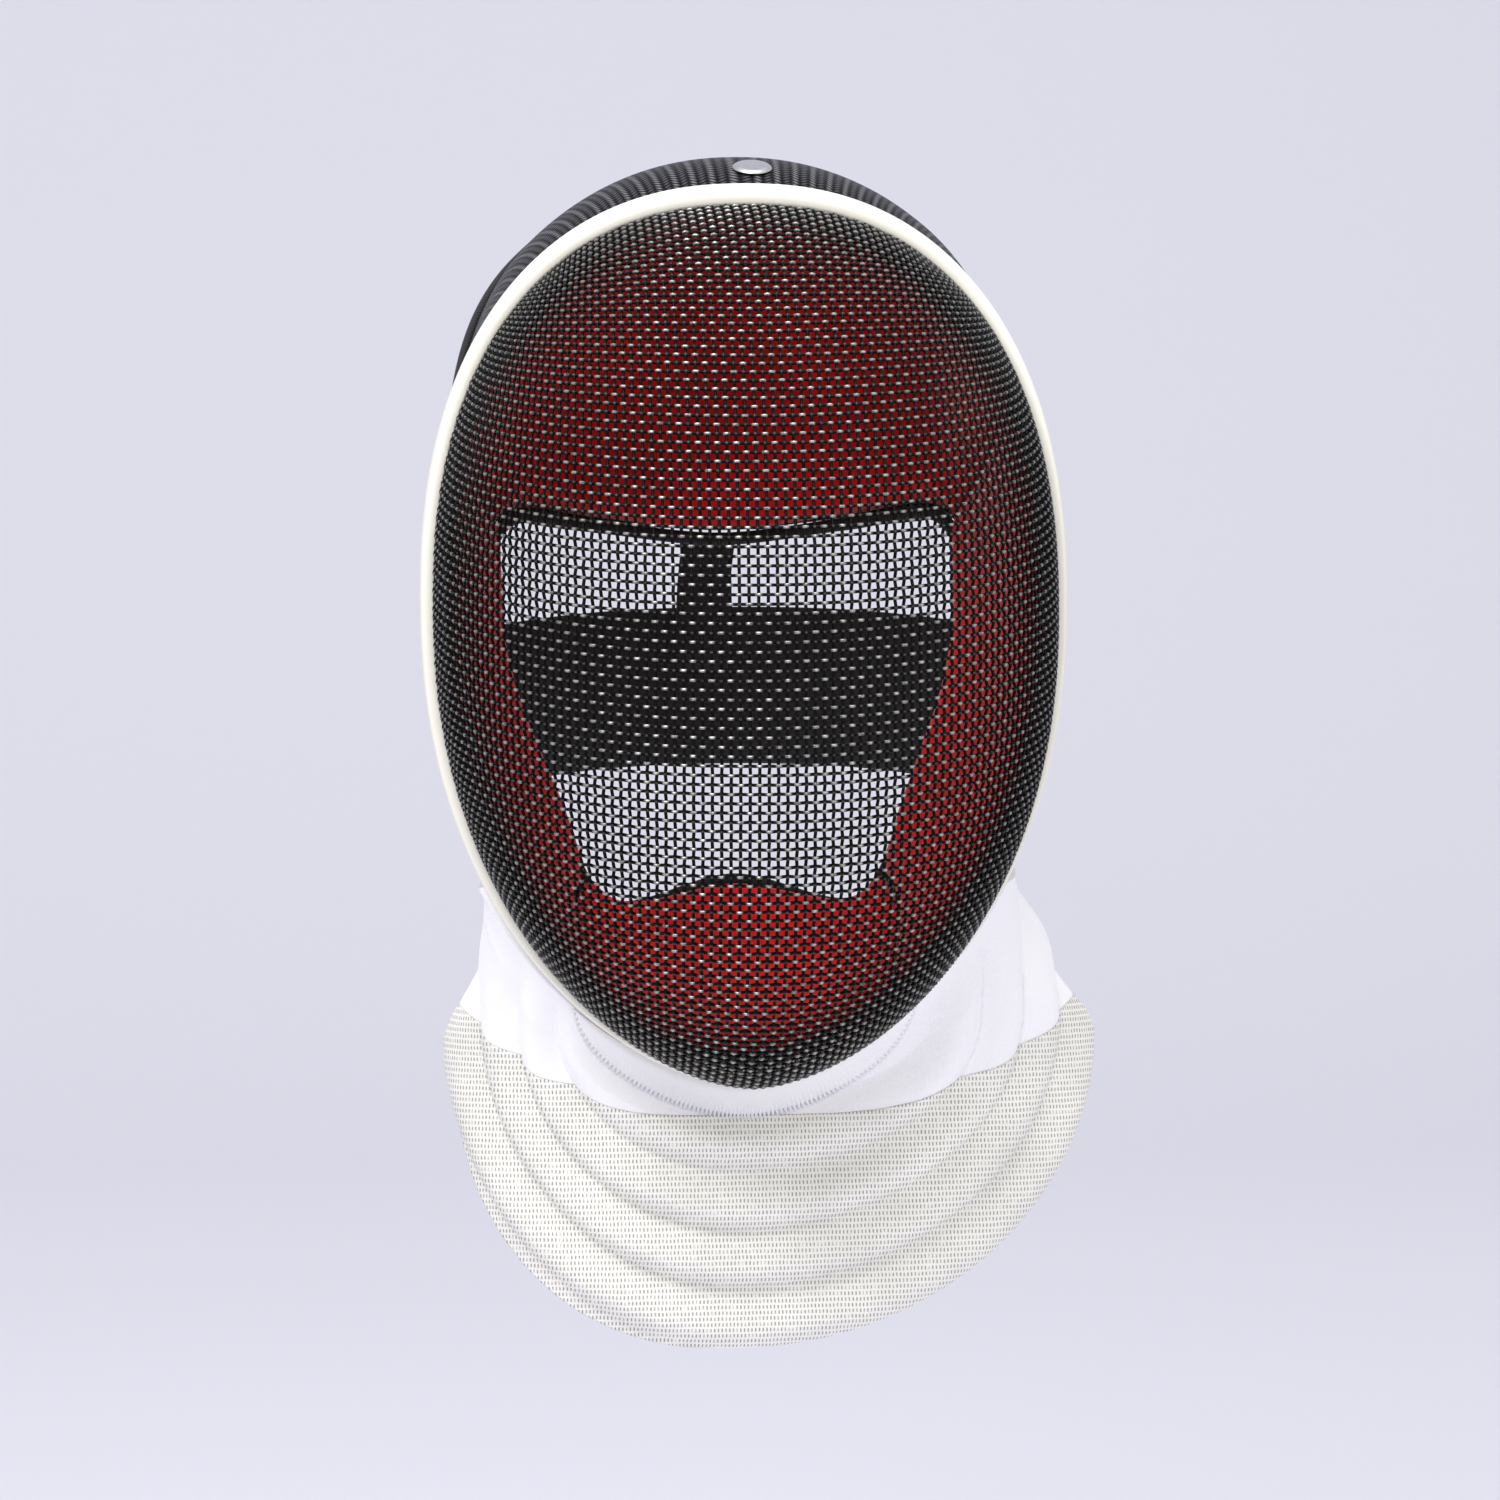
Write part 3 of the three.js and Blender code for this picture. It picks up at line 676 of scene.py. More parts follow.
def pad_piece(node):
    """A foam pad against the shell, rounded at its front and sides, plump at its rear edge."""
    low, high, thickness = PADS[node]
    across, down = np.linspace(0, 1, int(high - low) + 1), np.linspace(0, 1, PAD_ROWS)
    middle, out = shell_walls(list(mix(low, high, across)), PAD_START + (1 - PAD_START) * down)
    side_round = np.sqrt(np.clip(1 - np.abs(2 * across - 1) ** PAD_ROUND_POWER, 0, 1))
    front_round = np.sqrt(np.clip(1 - np.abs(1 - down * 2) ** PAD_ROUND_POWER * (down < 0.5), 0, 1))
    rear = np.clip((down - (1 - PAD_REAR_SPAN)) / PAD_REAR_SPAN, 0, 1)
    rear_round = 1 - (1 - PAD_REAR_ROUND) * rear ** 3
    fullness = PAD_EDGE + (1 - PAD_EDGE) * side_round[None] * (front_round * rear_round)[:, None]
    ripple = np.sin(down * PAD_RIPPLE["down"])[:, None]
    ripple = ripple * np.sin(across * (high - low) * PAD_RIPPLE["across"])[None]
    inward = PAD_SKIN + thickness * MM * fullness * (1 + PAD_RIPPLE["share"] * ripple)
    outer, inner = middle - out * PAD_SKIN, middle - out * inward[:, :, None]
    return wall_object(node + "_lining", list(outer), list(inner), False)


def frame_copy(nodes, name, levels, crease):
    """CAD nodes' walls as one fine smooth piece. Their sharp edges keep the given crease."""
    work = bmesh.new()
    for node in nodes:
        work.from_mesh(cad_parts[node].data)
    bmesh.ops.remove_doubles(work, verts=work.verts, dist=WELD)
    bmesh.ops.join_triangles(
        work, faces=work.faces, angle_face_threshold=QUAD_ANGLE, angle_shape_threshold=QUAD_ANGLE,
        cmp_seam=False, cmp_sharp=False, cmp_uvs=False, cmp_vcols=False, cmp_materials=False)
    layer = work.edges.layers.float.new("crease_edge")
    for edge in work.edges:
        if edge.calc_face_angle(0) > SHARP_ANGLE:
            edge[layer] = crease
    mesh = bpy.data.meshes.new(name)
    work.to_mesh(mesh)
    work.free()
    mesh.polygons.foreach_set("use_smooth", [True] * len(mesh.polygons))
    piece = linked_object(name, mesh)
    fine = piece.modifiers.new("Fine", "SUBSURF")
    fine.levels = levels
    fine.render_levels = levels
    return made_plain(piece, name)


# ---------- Bib ----------
def bib_width(x):
    return BIB["left_width"] if x < 0 else BIB["right_width"]


def bib_edge(place):
    """The free edge, from -1 at the left end through 0 at the bottom to 1 at the right end."""
    at, side = abs(place), math.copysign(1, place)
    width = bib_width(place)
    if at <= BIB["round"]:
        turn = at / BIB["round"] * math.pi / 2
        drop = (BIB["bottom"] - BIB["side_height"]) * math.cos(turn) ** BIB["edge_power"]
        x = side * width * math.sin(turn) ** BIB["edge_power"] + BIB["bottom_aside"] * math.cos(turn)
        y = BIB["edge_front"] + BIB["edge_back"] * (1 - math.cos(turn))
        return np.array((x, y, BIB["side_height"] + drop))
    share = (at - BIB["round"]) / (1 - BIB["round"])
    inwards = BIB["leg_in_left"] if place < 0 else BIB["leg_in_right"]
    y = BIB["edge_front"] + BIB["edge_back"]
    return np.array((side * (width - inwards * share), y, mix(BIB["side_height"], BIB["leg_top"], share)))


def bib_root(place):
    """The sewn edge, behind the moulding."""
    angle = math.pi - place * (math.pi - BIB["rim_end"])
    point = rim_point(angle) + rim_outward(angle) * (trim_width(angle) / 2 + BIB["root_out"])
    point -= np.array((0, RIM_MIDDLE_Y, RIM_MIDDLE_Z))
    point[1] += TRIM_DEPTH / 2 + BIB["root_out"]
    return point


def channel_level(point):
    """How far in from the free edge a point lies, in the steps that CHANNELS are given in."""
    x = abs(point[0]) * BIB["middle_width"] / bib_width(point[0])
    drop = BIB["level_top"] - (point[2] + BIB["fall"] * point[1])
    low, high = LEVEL_RANGE
    for _ in range(LEVEL_HALVINGS):
        level = (low + high) / 2
        width = BIB["level_width"] - BIB["level_width_step"] * level
        height = BIB["level_drop"] - BIB["level_drop_step"] * level
        inside = (x / width) ** 2 + (drop / height) ** 2 < 1 if drop > 0 else x < width
        low, high = (level, high) if inside else (low, level)
    return low


def channel_puff(level):
    """Each channel swells from its inner seam and drops to the seam outside it."""
    for inner, outer in zip(CHANNELS, CHANNELS[1:]):
        if inner >= level > outer:
            return math.sin(math.pi * ((inner - level) / (inner - outer)) ** BIB["swell_power"])
    return 0.0


def bib_middle(place, share):
    root, edge = bib_root(place), bib_edge(place)
    point = mix(root, edge, share)
    belly = 4 * share * (1 - share)
    point[1] -= belly * (1 - place * place) * BIB["belly_front"]
    point[0] += math.copysign(belly * place * place * BIB["belly_side"], place)
    return point


def cloth_line(point):
    """How far a point lies above the top of the conductive cloth."""
    spread = min(1.2, abs(point[0]) / bib_width(point[0]))
    line = CLOTH_LINE["middle"] + CLOTH_LINE["rise"] * spread ** CLOTH_LINE["power"]
    return point[2] + BIB["fall"] * point[1] - line


def cloth_share(place):
    """The share of the way down at which the conductive cloth starts."""
    low, high = 0.0, 1.0
    if cloth_line(bib_middle(place, 1)) > 0:
        return 1.0
    for _ in range(LINE_HALVINGS):
        share = (low + high) / 2
        if cloth_line(bib_middle(place, share)) > 0:
            low = share
        else:
            high = share
    return low


def bib_normal(place, share):
    step = 0.004
    round_low, round_high = max(-1, place - step), min(1, place + step)
    across = bib_middle(round_high, share) - bib_middle(round_low, share)
    down = bib_middle(place, min(1, share + step)) - bib_middle(place, max(0, share - step))
    return unit(np.cross(down, across))


def bib_point(place, share, front, lift, puff):
    middle = bib_middle(place, share)
    swell = puff * min(1, share * BIB["swell_rise"]) * channel_puff(channel_level(middle)) if front else 0
    swell *= 1 - BIB["side_calm"] * place * place
    out = BIB["wall"] / 2 + swell + lift if front else -BIB["wall"] / 2
    if front:
        waves = [math.sin(place * along + share * down) for along, down in WRINKLE["waves"]]
        out += WRINKLE["height"] * math.prod(waves) * min(1, share * WRINKLE["rise"])
    return middle + bib_normal(place, share) * out + np.array((0, RIM_MIDDLE_Y, RIM_MIDDLE_Z))


def bib_piece(name, places, span, rows, lift, puff):
    """One cloth of the bib, over the span of shares that each place has."""
    grids, flat = [], []
    for front in (True, False):
        grid = []
        for r in range(rows):
            row = []
            for place in places:
                start, end = span(place)
                share = mix(start, end, r / (rows - 1))
                row.append(bib_point(place, share, front, lift, puff))
            grid.append(row)
        grids.append(grid)
        for row in grid:
            flat += [cloth_flat(point) for point in row]
    piece = wall_object(name, grids[0], grids[1], False)
    add_uv(piece, flat)
    return piece


def cloth_flat(point):
    """A point's place on the cloth laid flat: along a level row, and up."""
    back = point[1] - RIM_MIDDLE_Y - BIB["edge_front"]
    along = math.copysign(math.hypot(point[0], max(0.0, back)), point[0])
    return (along, point[2] + BIB["fall"] * point[1])


def tape_piece(puff):
    """The tape over the joint under the chin, with a pinked lower edge."""
    reach = TAPE["reach"]
    places = np.linspace(-reach, reach, TAPE["steps"])
    outer, inner = [], []
    for share in TAPE["shares"]:
        rows = ([], [])
        for i, place in enumerate(places):
            length = np.linalg.norm(bib_edge(place) - bib_root(place))
            fade = 1 - (abs(place) / reach) ** 6
            tooth = TAPE["tooth"] * (1 if i % 4 < 2 else -1)
            width = (TAPE["width"] * fade + (tooth if share == 1.0 else 0)) / length
            at = max(0.002, width) * share
            base = bib_point(place, at, True, 0, puff)
            normal = bib_normal(place, at)
            rows[0].append(base + normal * TAPE["wall"])
            rows[1].append(base + normal * TAPE["gap"])
        outer.append(rows[0])
        inner.append(rows[1])
    piece = wall_object("bib_joint_tape", outer, inner, False)
    add_uv(piece, [cloth_flat(point) for grid in (outer, inner) for row in grid for point in row])
    return piece


# ---------- Shader tools ----------
class Shade:
    """A short hand for laying nodes in one tree."""

    def __init__(self, tree):
        self.tree = tree

    def node(self, kind, values=None, **settings):
        node = self.tree.nodes.new(kind)
        for key, value in settings.items():
            setattr(node, key, value)
        for key, value in (values or {}).items():
            if isinstance(value, bpy.types.NodeSocket):
                self.tree.links.new(value, node.inputs[key])
            else:
                node.inputs[key].default_value = value
        return node

    def math(self, operation, a, b=0.0):
        return self.node("ShaderNodeMath", {0: a, 1: b}, operation=operation).outputs[0]

    def ramp(self, value, low, high):
        spread = self.node("ShaderNodeMapRange", {"Value": value, "From Min": low, "From Max": high})
        return spread.outputs[0]

    def mix(self, mask, a, b):
        return self.node("ShaderNodeMix", {0: mask, 6: a, 7: b}, data_type="RGBA").outputs[2]

    def place(self):
        return self.node("ShaderNodeTexCoord").outputs["Object"]

    def cloth_map(self):
        return self.node("ShaderNodeUVMap", uv_map="Cloth").outputs[0]

    def feed(self, target, **values):
        """Links values into a node's inputs. A space in an input's name is given as an underscore."""
        for label, value in values.items():
            self.tree.links.new(value, target.inputs[label.replace("_", " ")])

    def noise(self, vector, scale, detail=3.0):
        node = self.node("ShaderNodeTexNoise", {"Vector": vector, "Scale": scale, "Detail": detail})
        return node.outputs[0]


def shade_group(name, inputs, outputs):
    """A named shader group with its sockets, and the hand that lays nodes in it."""
    tree = bpy.data.node_groups.new(name, "ShaderNodeTree")
    for label, kind in inputs.items():
        tree.interface.new_socket(label, in_out="INPUT", socket_type=kind)
    for label, kind in outputs.items():
        tree.interface.new_socket(label, in_out="OUTPUT", socket_type=kind)
    hand = Shade(tree)
    return tree, hand, hand.node("NodeGroupInput").outputs, hand.node("NodeGroupOutput")


FLOAT, VECTOR, COLOUR = "NodeSocketFloat", "NodeSocketVector", "NodeSocketColor"


def weave_group():
    """Rows of short raised threads, every other row moved along by a step."""
    sizes = {"Vector": VECTOR, "Along": FLOAT, "Across": FLOAT, "Step": FLOAT}
    tree, hand, given, out = shade_group("Cloth weave", sizes, {"Thread": FLOAT, "Gap": FLOAT})
    parts = hand.node("ShaderNodeSeparateXYZ", {0: given["Vector"]}).outputs
    across = hand.math("DIVIDE", parts[1], given["Across"])
    row = hand.math("FLOOR", across)
    shift = hand.math("MULTIPLY", hand.math("FLOORED_MODULO", row, 2.0), given["Step"])
    along = hand.math("ADD", hand.math("DIVIDE", parts[0], given["Along"]), shift)
    turn_along = hand.math("SINE", hand.math("MULTIPLY", along, 2 * math.pi))
    turn_across = hand.math("SINE", hand.math("MULTIPLY", hand.math("FRACT", across), math.pi))
    thread = hand.math("MULTIPLY", hand.ramp(turn_along, -1.0, 1.0), turn_across)
    between = hand.ramp(turn_along, 0.0, -0.75)
    gap = hand.math("MULTIPLY", between, hand.ramp(turn_across, 0.35, 0.75))
    hand.feed(out, Thread=thread, Gap=gap)
    return tree


def mottle_group():
    """Slow and fine unevenness, for handled cloth, foam and moulded vinyl."""
    tree, hand, given, out = shade_group(
        "Uneven tone", {"Vector": VECTOR, "Slow": FLOAT, "Fine": FLOAT}, {"Tone": FLOAT, "Grain": FLOAT})
    tone, grain = hand.noise(given["Vector"], given["Slow"]), hand.noise(given["Vector"], given["Fine"], 4.0)
    hand.feed(out, Tone=tone, Grain=grain)
    return tree


def new_material(name, **sockets):
    material = bpy.data.materials.new(name)
    material.use_nodes = True
    surface = material.node_tree.nodes["Principled BSDF"]
    for label, value in sockets.items():
        surface.inputs[label.replace("_", " ")].default_value = value
    return material, Shade(material.node_tree), surface


def group_node(hand, name, make, values):
    group = bpy.data.node_groups.get(name) or make()
    return hand.node("ShaderNodeGroup", values, node_tree=group).outputs


def uneven_tone(hand, vector, slow, fine):
    return group_node(hand, "Uneven tone", mottle_group, {"Vector": vector, "Slow": slow, "Fine": fine})


def cloth_weave(hand, vector, sizes):
    values = dict(zip(("Vector", "Along", "Across", "Step"), (vector, *sizes)))
    return group_node(hand, "Cloth weave", weave_group, values)


def bump(hand, surface, height, distance, strength):
    node = hand.node("ShaderNodeBump", {"Height": height, "Distance": distance, "Strength": strength})
    hand.feed(surface, Normal=node.outputs[0])


def opaque(colour):
    return (*colour, 1.0)


def wire_material(settings):
    """Black enamel, worn to bare bright metal where a wire passes over its neighbour. The same mark is also
    painted highlight: across wires get more of it than upright ones, as a top light would give.
    """
    material, hand, surface = new_material("Wire enamel", Roughness=0.36, Specular_IOR_Level=0.06)
    crest_wear_and_highlight = hand.node("ShaderNodeAttribute", attribute_name="crest_wear_and_highlight").outputs["Fac"]
    patchy = uneven_tone(hand, hand.place(), 60.0, 900.0)
    # Painted highlight mixed with wear: patchy bright bare metal on the crests, strongest on the across
    # wires.
    worn_and_highlight = hand.math("MULTIPLY", hand.ramp(crest_wear_and_highlight, 0.48, 0.9), hand.ramp(patchy["Grain"], 0.25, 0.6))
    hand.feed(surface, Base_Color=hand.mix(worn_and_highlight, opaque(settings.colour), WIRE_RUBBED_AND_HIGHLIGHT), Metallic=worn_and_highlight)
    return material


def trim_material(settings):
    material, hand, surface = new_material(
        "Ivory moulding", Roughness=0.38, Subsurface_Weight=0.08, Subsurface_Scale=0.002)
    uneven = uneven_tone(hand, hand.place(), 18.0, 700.0)
    light = opaque(settings.trim_colour)
    dark = opaque([0.93 * part for part in settings.trim_colour])
    hand.feed(surface, Base_Color=hand.mix(uneven["Tone"], dark, light),
              Roughness=hand.ramp(uneven["Grain"], -0.6, 2.2))
    bump(hand, surface, uneven["Grain"], 0.08 * MM, 0.35)
    return material


def carbon_material(settings):
    """Twill ribs that run back over the crown, each with slanting threads. Each rib is painted lighter along
    its middle and darker at its edges, a painted highlight and painted shade on its round. Alternate ribs
    differ in tone, partly as the twill's pattern and partly as painted light.
    """
    material, hand, surface = new_material("Carbon cover", Roughness=0.35, Specular_IOR_Level=0.04)
    parts = hand.node("ShaderNodeSeparateXYZ", {0: hand.cloth_map()}).outputs
    rib = hand.math("MULTIPLY", parts[0], float(CARBON_RIBS))
    in_rib = hand.math("FRACT", rib)
    side = hand.math("FLOORED_MODULO", hand.math("FLOOR", rib), 2.0)
    slope = hand.math("SUBTRACT", hand.math("MULTIPLY", side, 2.0), 1.0)
    along = hand.math("DIVIDE", parts[1], TWILL_STEP)
    slanted = hand.math("FRACT", hand.math("ADD", along, hand.math("MULTIPLY", in_rib, slope)))
    thread = hand.math("SINE", hand.math("MULTIPLY", slanted, math.pi))
    # Painted highlight along the middle of each rib and painted shade at its edges. Alternate ribs are
    # darker, partly as pattern and partly as painted light.
    round_rib = hand.math("SINE", hand.math("MULTIPLY", in_rib, math.pi))
    rib_highlight_and_shade = hand.math("MULTIPLY", hand.math("POWER", round_rib, 2.0), hand.ramp(side, -0.7, 1.0))
    bright = hand.math("MULTIPLY", hand.ramp(thread, 0.35, 1.0), rib_highlight_and_shade)
    colour = hand.mix(bright, opaque(settings.carbon_dark), opaque(settings.carbon_threads_and_highlight))
    hand.feed(surface, Base_Color=colour, Roughness=hand.ramp(thread, 1.6, -0.6))
    raised = hand.math("ADD", hand.math("MULTIPLY", thread, 0.4), round_rib)
    bump(hand, surface, raised, 0.28 * MM, 0.7)
    return material


def lining_material(settings):
    material, hand, surface = new_material(
        "Red lining", Roughness=0.85, Sheen_Weight=0.3, Sheen_Roughness=0.5, Specular_IOR_Level=0.2)
    uneven = uneven_tone(hand, hand.place(), 22.0, 1500.0)
    dark = opaque([0.62 * part for part in settings.red])
    hand.feed(surface, Base_Color=hand.mix(hand.ramp(uneven["Tone"], 0.3, 0.7), dark, opaque(settings.red)))
    bump(hand, surface, uneven["Grain"], 0.3 * MM, 0.6)
    return material


def webbing_material(name, colour, rib):
    """Ribs of elastic webbing, or of braided binding."""
    material, hand, surface = new_material(name, Roughness=0.75, Sheen_Weight=0.15)
    place = hand.place()
    parts = hand.node("ShaderNodeSeparateXYZ", {0: place}).outputs
    turn = hand.math("MULTIPLY", hand.math("ADD", parts[2], parts[1]), 2 * math.pi / rib)
    ribs = hand.ramp(hand.math("SINE", turn), -1.0, 1.0)
    uneven = uneven_tone(hand, place, 30.0, 1800.0)
    tone = hand.math("MULTIPLY", ribs, hand.ramp(uneven["Grain"], 0.2, 0.8))
    light = opaque([min(1.0, 3.0 * part) for part in colour])
    hand.feed(surface, Base_Color=hand.mix(tone, opaque(colour), light))
    bump(hand, surface, tone, 0.25 * MM, 0.8)
    return material


def badge_material():
    material, hand, surface = new_material("Badge plate", Metallic=1.0, Roughness=0.3)
    scale = (40.0, 4000.0, 4000.0)
    stretched = hand.node("ShaderNodeMapping", {"Vector": hand.place(), "Scale": scale}).outputs[0]
    brushed = hand.noise(stretched, 1.0, 2.0)
    hand.feed(surface, Base_Color=hand.mix(brushed, *BADGE_TONES), Roughness=hand.ramp(brushed, -0.4, 2.0))
    return material


def white_cloth_material(settings):
    material, hand, surface = new_material(
        "White cloth", Roughness=0.75, Sheen_Weight=0.2, Specular_IOR_Level=0.25)
    flat = hand.cloth_map()
    weave = cloth_weave(hand, flat, WHITE_WEAVE)
    uneven = uneven_tone(hand, flat, 14.0, 900.0)
    dark = opaque([0.94 * part for part in settings.white])
    hand.feed(surface, Base_Color=hand.mix(uneven["Tone"], dark, opaque(settings.white)))
    bump(hand, surface, weave["Thread"], 0.12 * MM, 0.5)
    return material


def silver_cloth_material(settings):
    """Cream cloth woven with metal thread: rows of short dark gaps between bright threads."""
    material, hand, surface = new_material("Conductive cloth", Roughness=0.5)
    flat = hand.cloth_map()
    wobble = hand.node("ShaderNodeTexNoise", {"Vector": flat, "Scale": 90.0, "Detail": 2.0}).outputs[1]
    reach = {0: wobble, 1: (0.5 * MM, 0.6 * MM, 0.0)}
    moved = hand.node("ShaderNodeVectorMath", reach, operation="MULTIPLY").outputs[0]
    loose = hand.node("ShaderNodeVectorMath", {0: flat, 1: moved}, operation="ADD").outputs[0]
    weave = cloth_weave(hand, loose, CONDUCTIVE_WEAVE)
    uneven = uneven_tone(hand, flat, 26.0, 420.0)
    gap = hand.math("MULTIPLY", weave["Gap"], hand.ramp(uneven["Grain"], 0.2, 0.5))
    worn = opaque([0.88 * part for part in settings.silver])
    ground = hand.mix(hand.ramp(uneven["Tone"], 0.35, 0.7), worn, opaque(settings.silver))
    hand.feed(surface, Base_Color=hand.mix(gap, ground, CLOTH_GAP),
              Metallic=hand.ramp(weave["Thread"], 0.4, 3.0))
    bump(hand, surface, weave["Thread"], 0.25 * MM, 0.5)
    return material


# ---------- Stage ----------
def soft_light(name, place, aim, size, power):
    light = bpy.data.lights.new(name, "AREA")
    light.shape = "RECTANGLE"
    light.size, light.size_y = size
    light.energy = power
    lamp = linked_object(name, light)
    lamp.location = place
    lamp.rotation_euler = (Vector(aim) - Vector(place)).to_track_quat("-Z", "Y").to_euler()


def make_camera():
    data = bpy.data.cameras.new("Camera")
    data.lens = CAMERA["film"] * CAMERA["distance"] / CAMERA["field"]
    data.sensor_width = CAMERA["film"]
    azimuth, elevation = (math.radians(CAMERA[key]) for key in ("azimuth", "elevation"))
    back = Vector((math.sin(azimuth) * math.cos(elevation),
                   -math.cos(azimuth) * math.cos(elevation), math.sin(elevation)))
    camera = linked_object("Camera", data)
    camera.location = Vector(CAMERA["aim"]) + back * CAMERA["distance"]
    camera.rotation_euler = (-back).to_track_quat("-Z", "Y").to_euler()
    bpy.context.scene.camera = camera


def make_floor():
    """A wide floor that sweeps up into a plain wall behind."""
    depth, radius, height, half = STAGE["depth"], STAGE["radius"], STAGE["height"], STAGE["half"]
    level = STAGE["level"]
    profile = [(-depth, level), (depth - radius, level)]
    bends = 12
    for k in range(1, bends + 1):
        turn = k / bends * math.pi / 2
        profile.append((depth - radius + radius * math.sin(turn), level + radius * (1 - math.cos(turn))))
    profile.append((depth, level + height))
    points = [(x, y, z) for x in (-half, half) for y, z in profile]
    count = len(profile)
    faces = [[k, k + 1, count + k + 1, count + k] for k in range(count - 1)]
    floor = mesh_object("Studio_floor", points, faces)
    material, _, surface = new_material("Studio floor", Roughness=0.9, Specular_IOR_Level=0.1)
    surface.inputs["Base Color"].default_value = STAGE["colour"]
    floor.data.materials.append(material)


# ---------- Operators ----------
class MASK_OT_stage(bpy.types.Operator):
    """Sets the camera, the soft lights and the pale floor"""
    bl_idname = "mask.stage"
    bl_label = "Studio"

    def execute(self, context):
        make_camera()
        make_floor()
        world = bpy.data.worlds.new("Soft sky")
        world.use_nodes = True
        sky = world.node_tree.nodes["Background"].inputs
        sky["Color"].default_value = STAGE["sky"]
        sky["Strength"].default_value = STAGE["sky_strength"]
        context.scene.world = world
        context.scene.view_settings.view_transform = "Standard"
        for name, (place, size, power) in LIGHTS.items():
            soft_light(name, place, CAMERA["aim"], size, power)
        return {"FINISHED"}


class MASK_OT_wires(bpy.types.Operator):
    """Weaves the wire face over the dome"""
    bl_idname = "mask.wires"
    bl_label = "Woven wire face"

    def execute(self, context):
        settings = context.scene.mask_wire
        tree = dome_tree()
        net = wire_net(tree, settings.pitch)
        material = wire_material(settings)
        for along_x, name in ((True, "face_wires_across"), (False, "face_wires_upright")):
            runs = wire_runs(tree, net, along_x, settings.radius)
            if len(runs) < FEWEST_WIRES:
                raise RuntimeError(f"{name}: only {len(runs)} wires were laid")
            axis = 2 if along_x else 0
            middle = RIM_MIDDLE_Z if along_x else 0.0
            for low, part in ((True, "_low"), (False, "_high")):
                half = [run for run in runs if (run[len(run) // 2][0][axis] < middle) == low]
                piece = swept_wires(name + part, half, settings, material)
                finish_piece(piece, material, "wire", "woven_front")
        return {"FINISHED"}


class MASK_OT_trim(bpy.types.Operator):
    """Makes the ivory moulding round the face"""
    bl_idname = "mask.trim"
    bl_label = "Rim moulding"

    def execute(self, context):
        material = trim_material(context.scene.mask_cover)
        finish_piece(face_trim_mesh(), material, "ivory_trim", "face_trim")
        return {"FINISHED"}


class MASK_OT_shell(bpy.types.Operator):
    """Makes the carbon-look cover with its piping, binding and badge"""
    bl_idname = "mask.shell"
    bl_label = "Rear shell"

    def execute(self, context):
        settings = context.scene.mask_cover
        black = webbing_material("Black binding", context.scene.mask_pads.strap, 1.1 * MM)
        finish_piece(cover_piece(), carbon_material(settings), "carbon_cover", "rear_shell")
        finish_piece(binding_piece(), black, "black_binding", "rear_binding")
        finish_piece(piping_piece(), black, "black_binding", "crown_piping")
        badge = frame_copy(["crown_badge"], "crown_badge_plate", 2, 0.75)
        finish_piece(badge, badge_material(), "badge_metal", "crown_badge")
        return {"FINISHED"}


class MASK_OT_pads(bpy.types.Operator):
    """Makes the red pads inside the shell"""
    bl_idname = "mask.pads"
    bl_label = "Padding"

    def execute(self, context):
        material = lining_material(context.scene.mask_pads)
        for node in PADS:
            finish_piece(pad_piece(node), material, "red_padding", node)
        return {"FINISHED"}


class MASK_OT_straps(bpy.types.Operator):
    """Makes the wide back strap and the short strap that holds it up"""
    bl_idname = "mask.straps"
    bl_label = "Straps"

    def execute(self, context):
        material = webbing_material("Black webbing", context.scene.mask_pads.strap, 1.6 * MM)
        for node in ("back_strap", "centre_strap"):
            piece = frame_copy([node], node + "_webbing", 2, 0.9)
            finish_piece(piece, material, "black_strap", node)
        return {"FINISHED"}


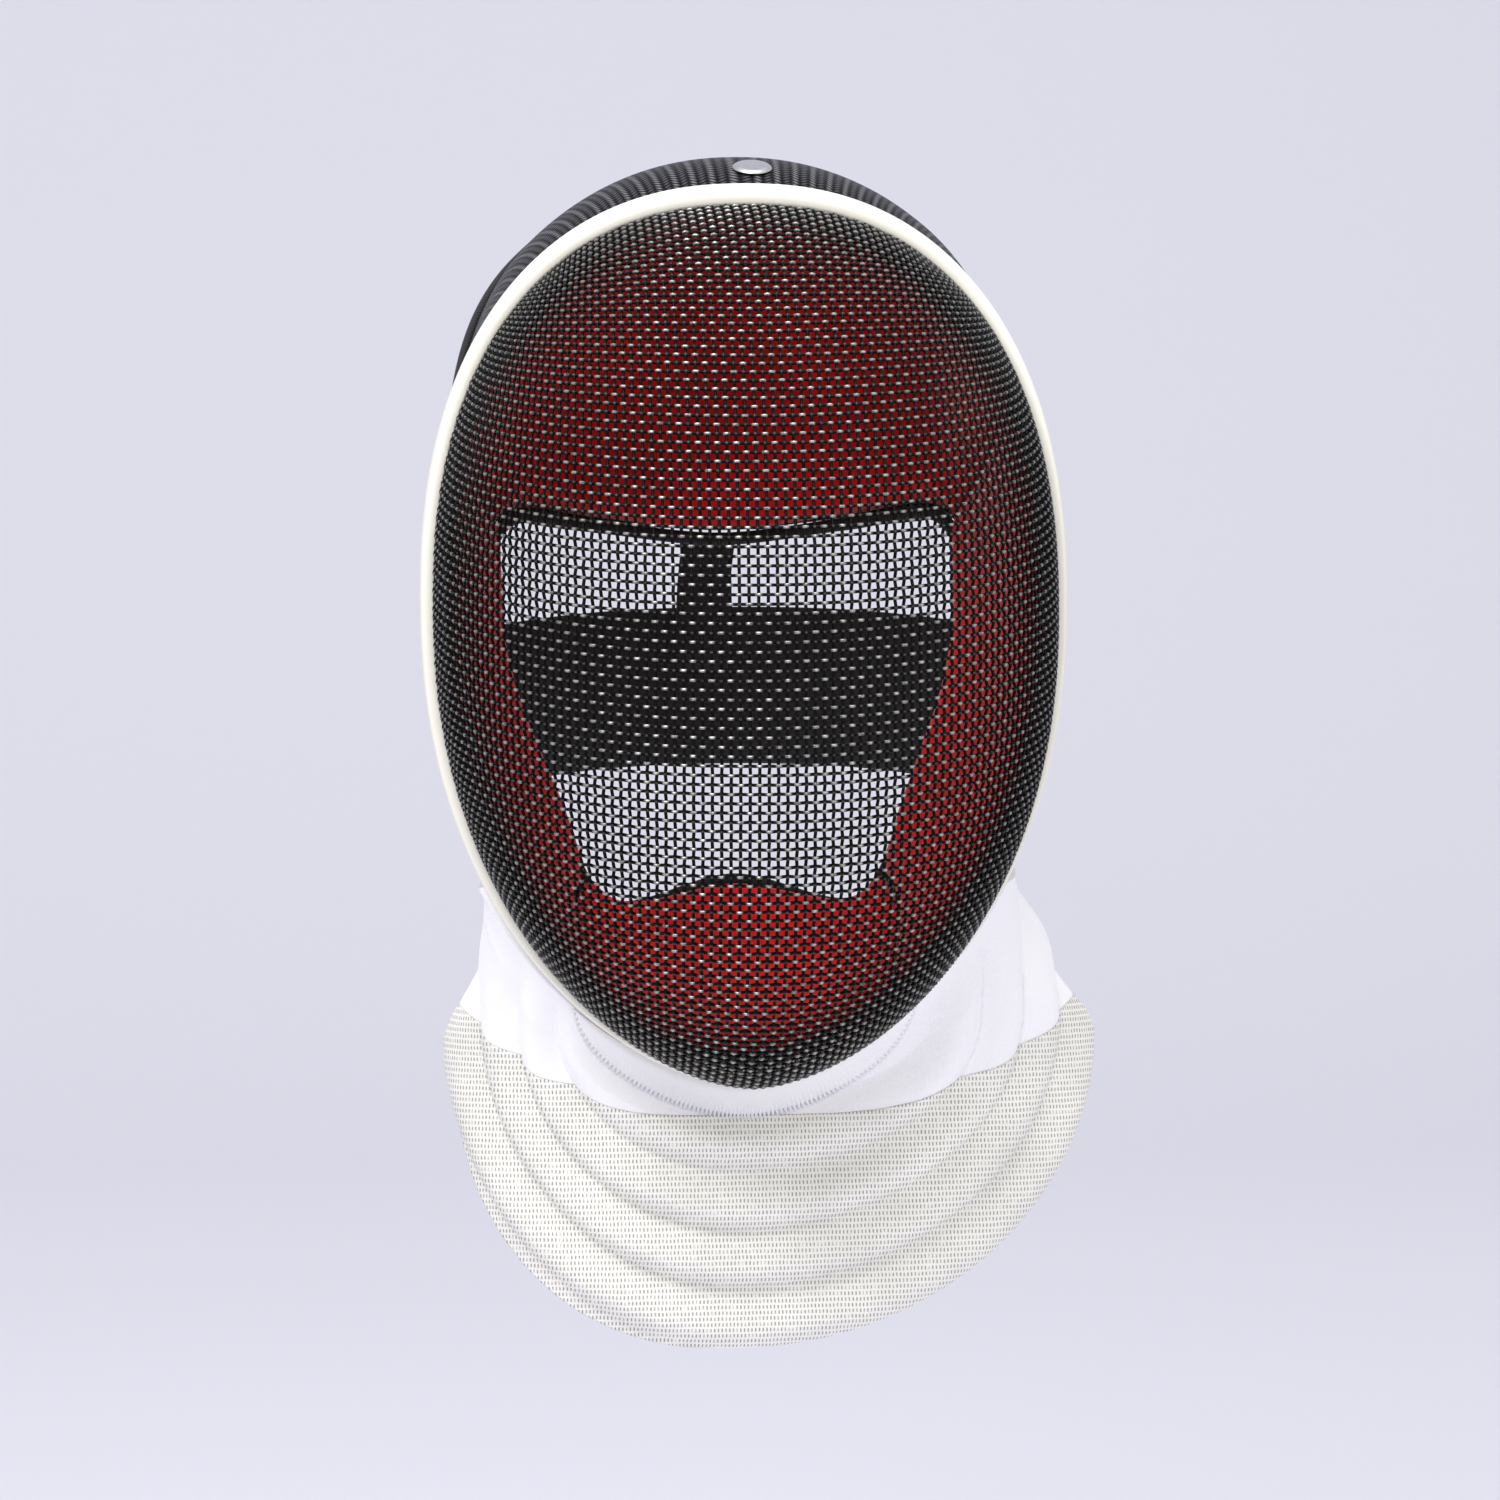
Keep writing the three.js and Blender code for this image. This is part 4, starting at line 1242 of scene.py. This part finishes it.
class MASK_OT_bib(bpy.types.Operator):
    """Makes the quilted bib in its two cloths, with the tape under the chin"""
    bl_idname = "mask.bib"
    bl_label = "Bib"

    def execute(self, context):
        settings = context.scene.mask_bib
        places = np.linspace(-1, 1, settings.columns + 1)
        starts = {place: cloth_share(place) for place in places}
        lower = [place for place in places if starts[place] < 0.99]
        upper_rows = settings.rows * 2 // 5
        white, silver = white_cloth_material(settings), silver_cloth_material(settings)
        upper = bib_piece(
            "bib_upper_cloth", places, lambda place: (0.0, starts[place]), upper_rows, 0.0, settings.puff)
        finish_piece(upper, white, "white_cloth", "bib_upper")
        cloth = bib_piece(
            "bib_conductive_cloth", lower, lambda place: (starts[place] + 0.001, 1.0),
            settings.rows - upper_rows // 3, CLOTH_LIFT, settings.puff)
        finish_piece(cloth, silver, "conductive_cloth", "bib_conductive")
        finish_piece(tape_piece(settings.puff), white, "white_cloth")
        return {"FINISHED"}


STEPS = (MASK_OT_stage, MASK_OT_wires, MASK_OT_trim, MASK_OT_shell, MASK_OT_pads, MASK_OT_straps, MASK_OT_bib)


class MASK_PT_pieces(bpy.types.Panel):
    """Lists the mask's pieces in the 3D view's sidebar"""
    bl_label = "Fencing mask"
    bl_space_type = "VIEW_3D"
    bl_region_type = "UI"
    bl_category = "Fencing mask"

    def draw(self, context):
        for step in STEPS:
            self.layout.operator(step.bl_idname)
        for name in SETTINGS:
            box = self.layout.box()
            settings = getattr(context.scene, name)
            for key in settings.bl_rna.properties.keys():
                if key not in ("rna_type", "name"):
                    box.prop(settings, key)


def register():
    for name, kind in SETTINGS.items():
        bpy.utils.register_class(kind)
        setattr(bpy.types.Scene, name, bpy.props.PointerProperty(type=kind))
    for kind in (*STEPS, MASK_PT_pieces):
        bpy.utils.register_class(kind)


def unregister():
    for kind in (MASK_PT_pieces, *reversed(STEPS)):
        bpy.utils.unregister_class(kind)
    for name, kind in SETTINGS.items():
        delattr(bpy.types.Scene, name)
        bpy.utils.unregister_class(kind)


def main():
    register()
    for step in STEPS:
        group, name = step.bl_idname.split(".")
        getattr(getattr(bpy.ops, group), name)()


if __name__ == "__main__":
    main()
